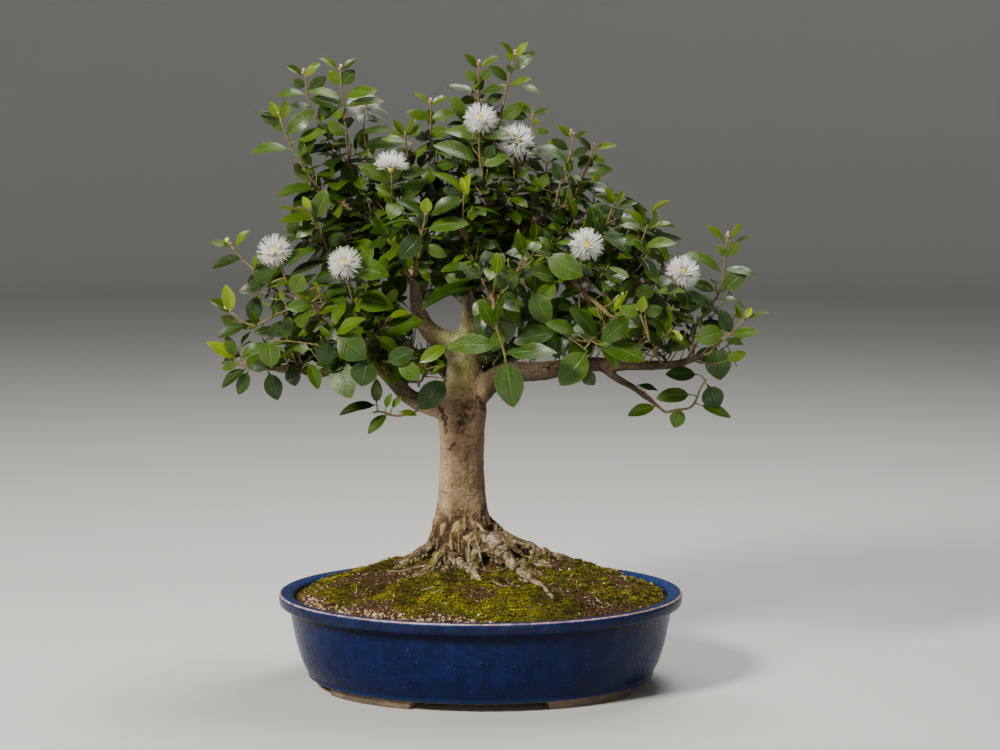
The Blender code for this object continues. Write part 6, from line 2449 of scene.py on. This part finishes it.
marks_of_roots = root_marks()
all_stems = lay_out_stems()
all_leaves = [drawn(leaf) for leaf in lay_out_leaves(all_stems)]
for name, share in SHORTER.items():
    short = all_stems[name]
    short.end = short.start + (short.end - short.start) * share
seen_leaves, more_twigs = grow_seen_leaves(all_stems)
for name in SEEN_LEAVES:
    if not all_stems[name].bloom and name not in BARE_ENDS:
        last_seen = max(each["distance"] for each in seen_leaves if each["stem"] == name)
        all_stems[name].end = min(all_stems[name].end, last_seen + 1.0)
lowest_seen = {}
for each in seen_leaves:
    lowest = lowest_seen.get(each["stem"], math.inf)
    lowest_seen[each["stem"]] = min(lowest, each["distance"] - 5.0)
crowd = Crowd([each.bloom for each in all_stems.values() if each.bloom], seen_leaves)
all_leaves = [
    each for each in all_leaves
    if each["distance"] < lowest_seen.get(each["stem"], math.inf)
    and not any(
        crowd.hides_leaf(place, 0.0) or crowd.in_window(place) for place in crowd.samples(each)
    )
]
for each in seen_leaves + all_leaves:
    crowd.add(each)
more_leaves = seen_leaves + grow_pairs_between(all_stems, all_leaves, crowd)
for habits in TWIG_ROUNDS:
    new_twigs, new_leaves = grow_side_twigs(all_stems, crowd, *habits)
    more_twigs += new_twigs
    more_leaves += new_leaves

make_pot()
for side in ("left", "right"):
    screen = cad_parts["drain_screen_" + side]
    screen.data.materials.clear()
    screen.data.materials.append(screen_plastic)
make_soil()

trunk = wood_body(all_stems)
carve_bark(trunk)
trunk.data.materials.append(wood_bark)
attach(trunk, "root")
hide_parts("trunk")
trunk_surface = surface_tree(trunk)
make_rootlets(trunk_surface)
make_moss(trunk_surface)
make_grit(trunk_surface)

leaf_forms = leaf_templates()
small_ball = ball_template(10, 6)
for piece_name in dict.fromkeys(each.piece for each in all_stems.values()):
    twigs = [each for each in more_twigs if each.piece == piece_name]
    leaves = [each for each in more_leaves if each["piece"] == piece_name]
    if piece_name != "trunk":
        twigs = [each for each in all_stems.values() if each.piece == piece_name] + twigs
        leaves = [each for each in all_leaves if each["piece"] == piece_name] + leaves
        make_foliage("leafy_" + piece_name, twigs, leaves, leaf_forms, small_ball, piece_name)
    else:
        make_foliage("leafy_limbs", twigs, leaves, leaf_forms, small_ball)
for each in all_stems.values():
    if each.bloom:
        make_bloom(each, small_ball)
for form in [*leaf_forms["young"], *leaf_forms["grown"], small_ball]:
    bpy.data.meshes.remove(form)


# The stage, in metres: its floor, the bend up into its wall, and the height of that.
STAGE_RADIUS = 4.2
STAGE_BEND = 1.6
STAGE_HEIGHT = 5.0
STAGE_STEPS = 12


def make_stage():
    """A pale floor that rises far away into a pale wall all round."""
    shape = bmesh.new()
    bmesh.ops.create_circle(shape, cap_ends=True, segments=96, radius=STAGE_RADIUS)
    edges = shape.edges[:]
    for k in range(1, STAGE_STEPS + 1):
        turn = math.radians(90.0 * k / STAGE_STEPS)
        radius = STAGE_RADIUS + STAGE_BEND * math.sin(turn)
        height = STAGE_BEND * (1.0 - math.cos(turn))
        corners, edges = draw_out(shape, edges)
        for vert in corners:
            out = vert.co.to_2d().normalized() * radius
            vert.co = (out.x, out.y, height)
    for vert in draw_out(shape, edges)[0]:
        vert.co.z = STAGE_HEIGHT
    mesh = mesh_from("stage", shape)
    stage = add_object("stage", mesh)
    mesh.shade_smooth()
    mesh.materials.append(make_material(
        "stage_paper", lambda paint: ((0.62, 0.62, 0.61), 0.9, None, 0.0), Specular_IOR_Level=0.1,
    ))
    stage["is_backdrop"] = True


def make_light(name, place, aim, size, power, colour):
    data = bpy.data.lights.new(name, "AREA")
    data.shape = "DISK"
    data.size = size
    data.energy = power
    data.color = colour
    light = add_object(name, data)
    light.location = place
    light.rotation_euler = (Vector(aim) - Vector(place)).to_track_quat("-Z", "Y").to_euler()
    light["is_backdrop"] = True


make_stage()
make_light("key", (-1.25, -1.45, 1.45), (0.0, 0.0, 0.25), 0.5, 82.0, (1.0, 0.95, 0.86))
make_light("fill", (0.5, -2.3, 0.25), (0.0, 0.0, 0.15), 1.0, 9.0, (0.98, 0.98, 0.98))
make_light("top", (0.35, 0.55, 1.9), (0.0, 0.0, 0.3), 0.9, 34.0, (1.0, 0.98, 0.93))
world = bpy.data.worlds.new("studio")
world.use_nodes = True
backdrop = world.node_tree.nodes["Background"].inputs
backdrop["Color"].default_value = (0.97, 0.98, 1.0, 1.0)
backdrop["Strength"].default_value = 0.1
bpy.context.scene.world = world

lens = bpy.data.cameras.new("front")
lens.lens = LENS
lens.sensor_width = 36.0
camera = add_object("front", lens)
camera.location = EYE
camera.rotation_euler = (math.radians(90.0 - LOOK_DOWN), 0.0, 0.0)
bpy.context.scene.camera = camera
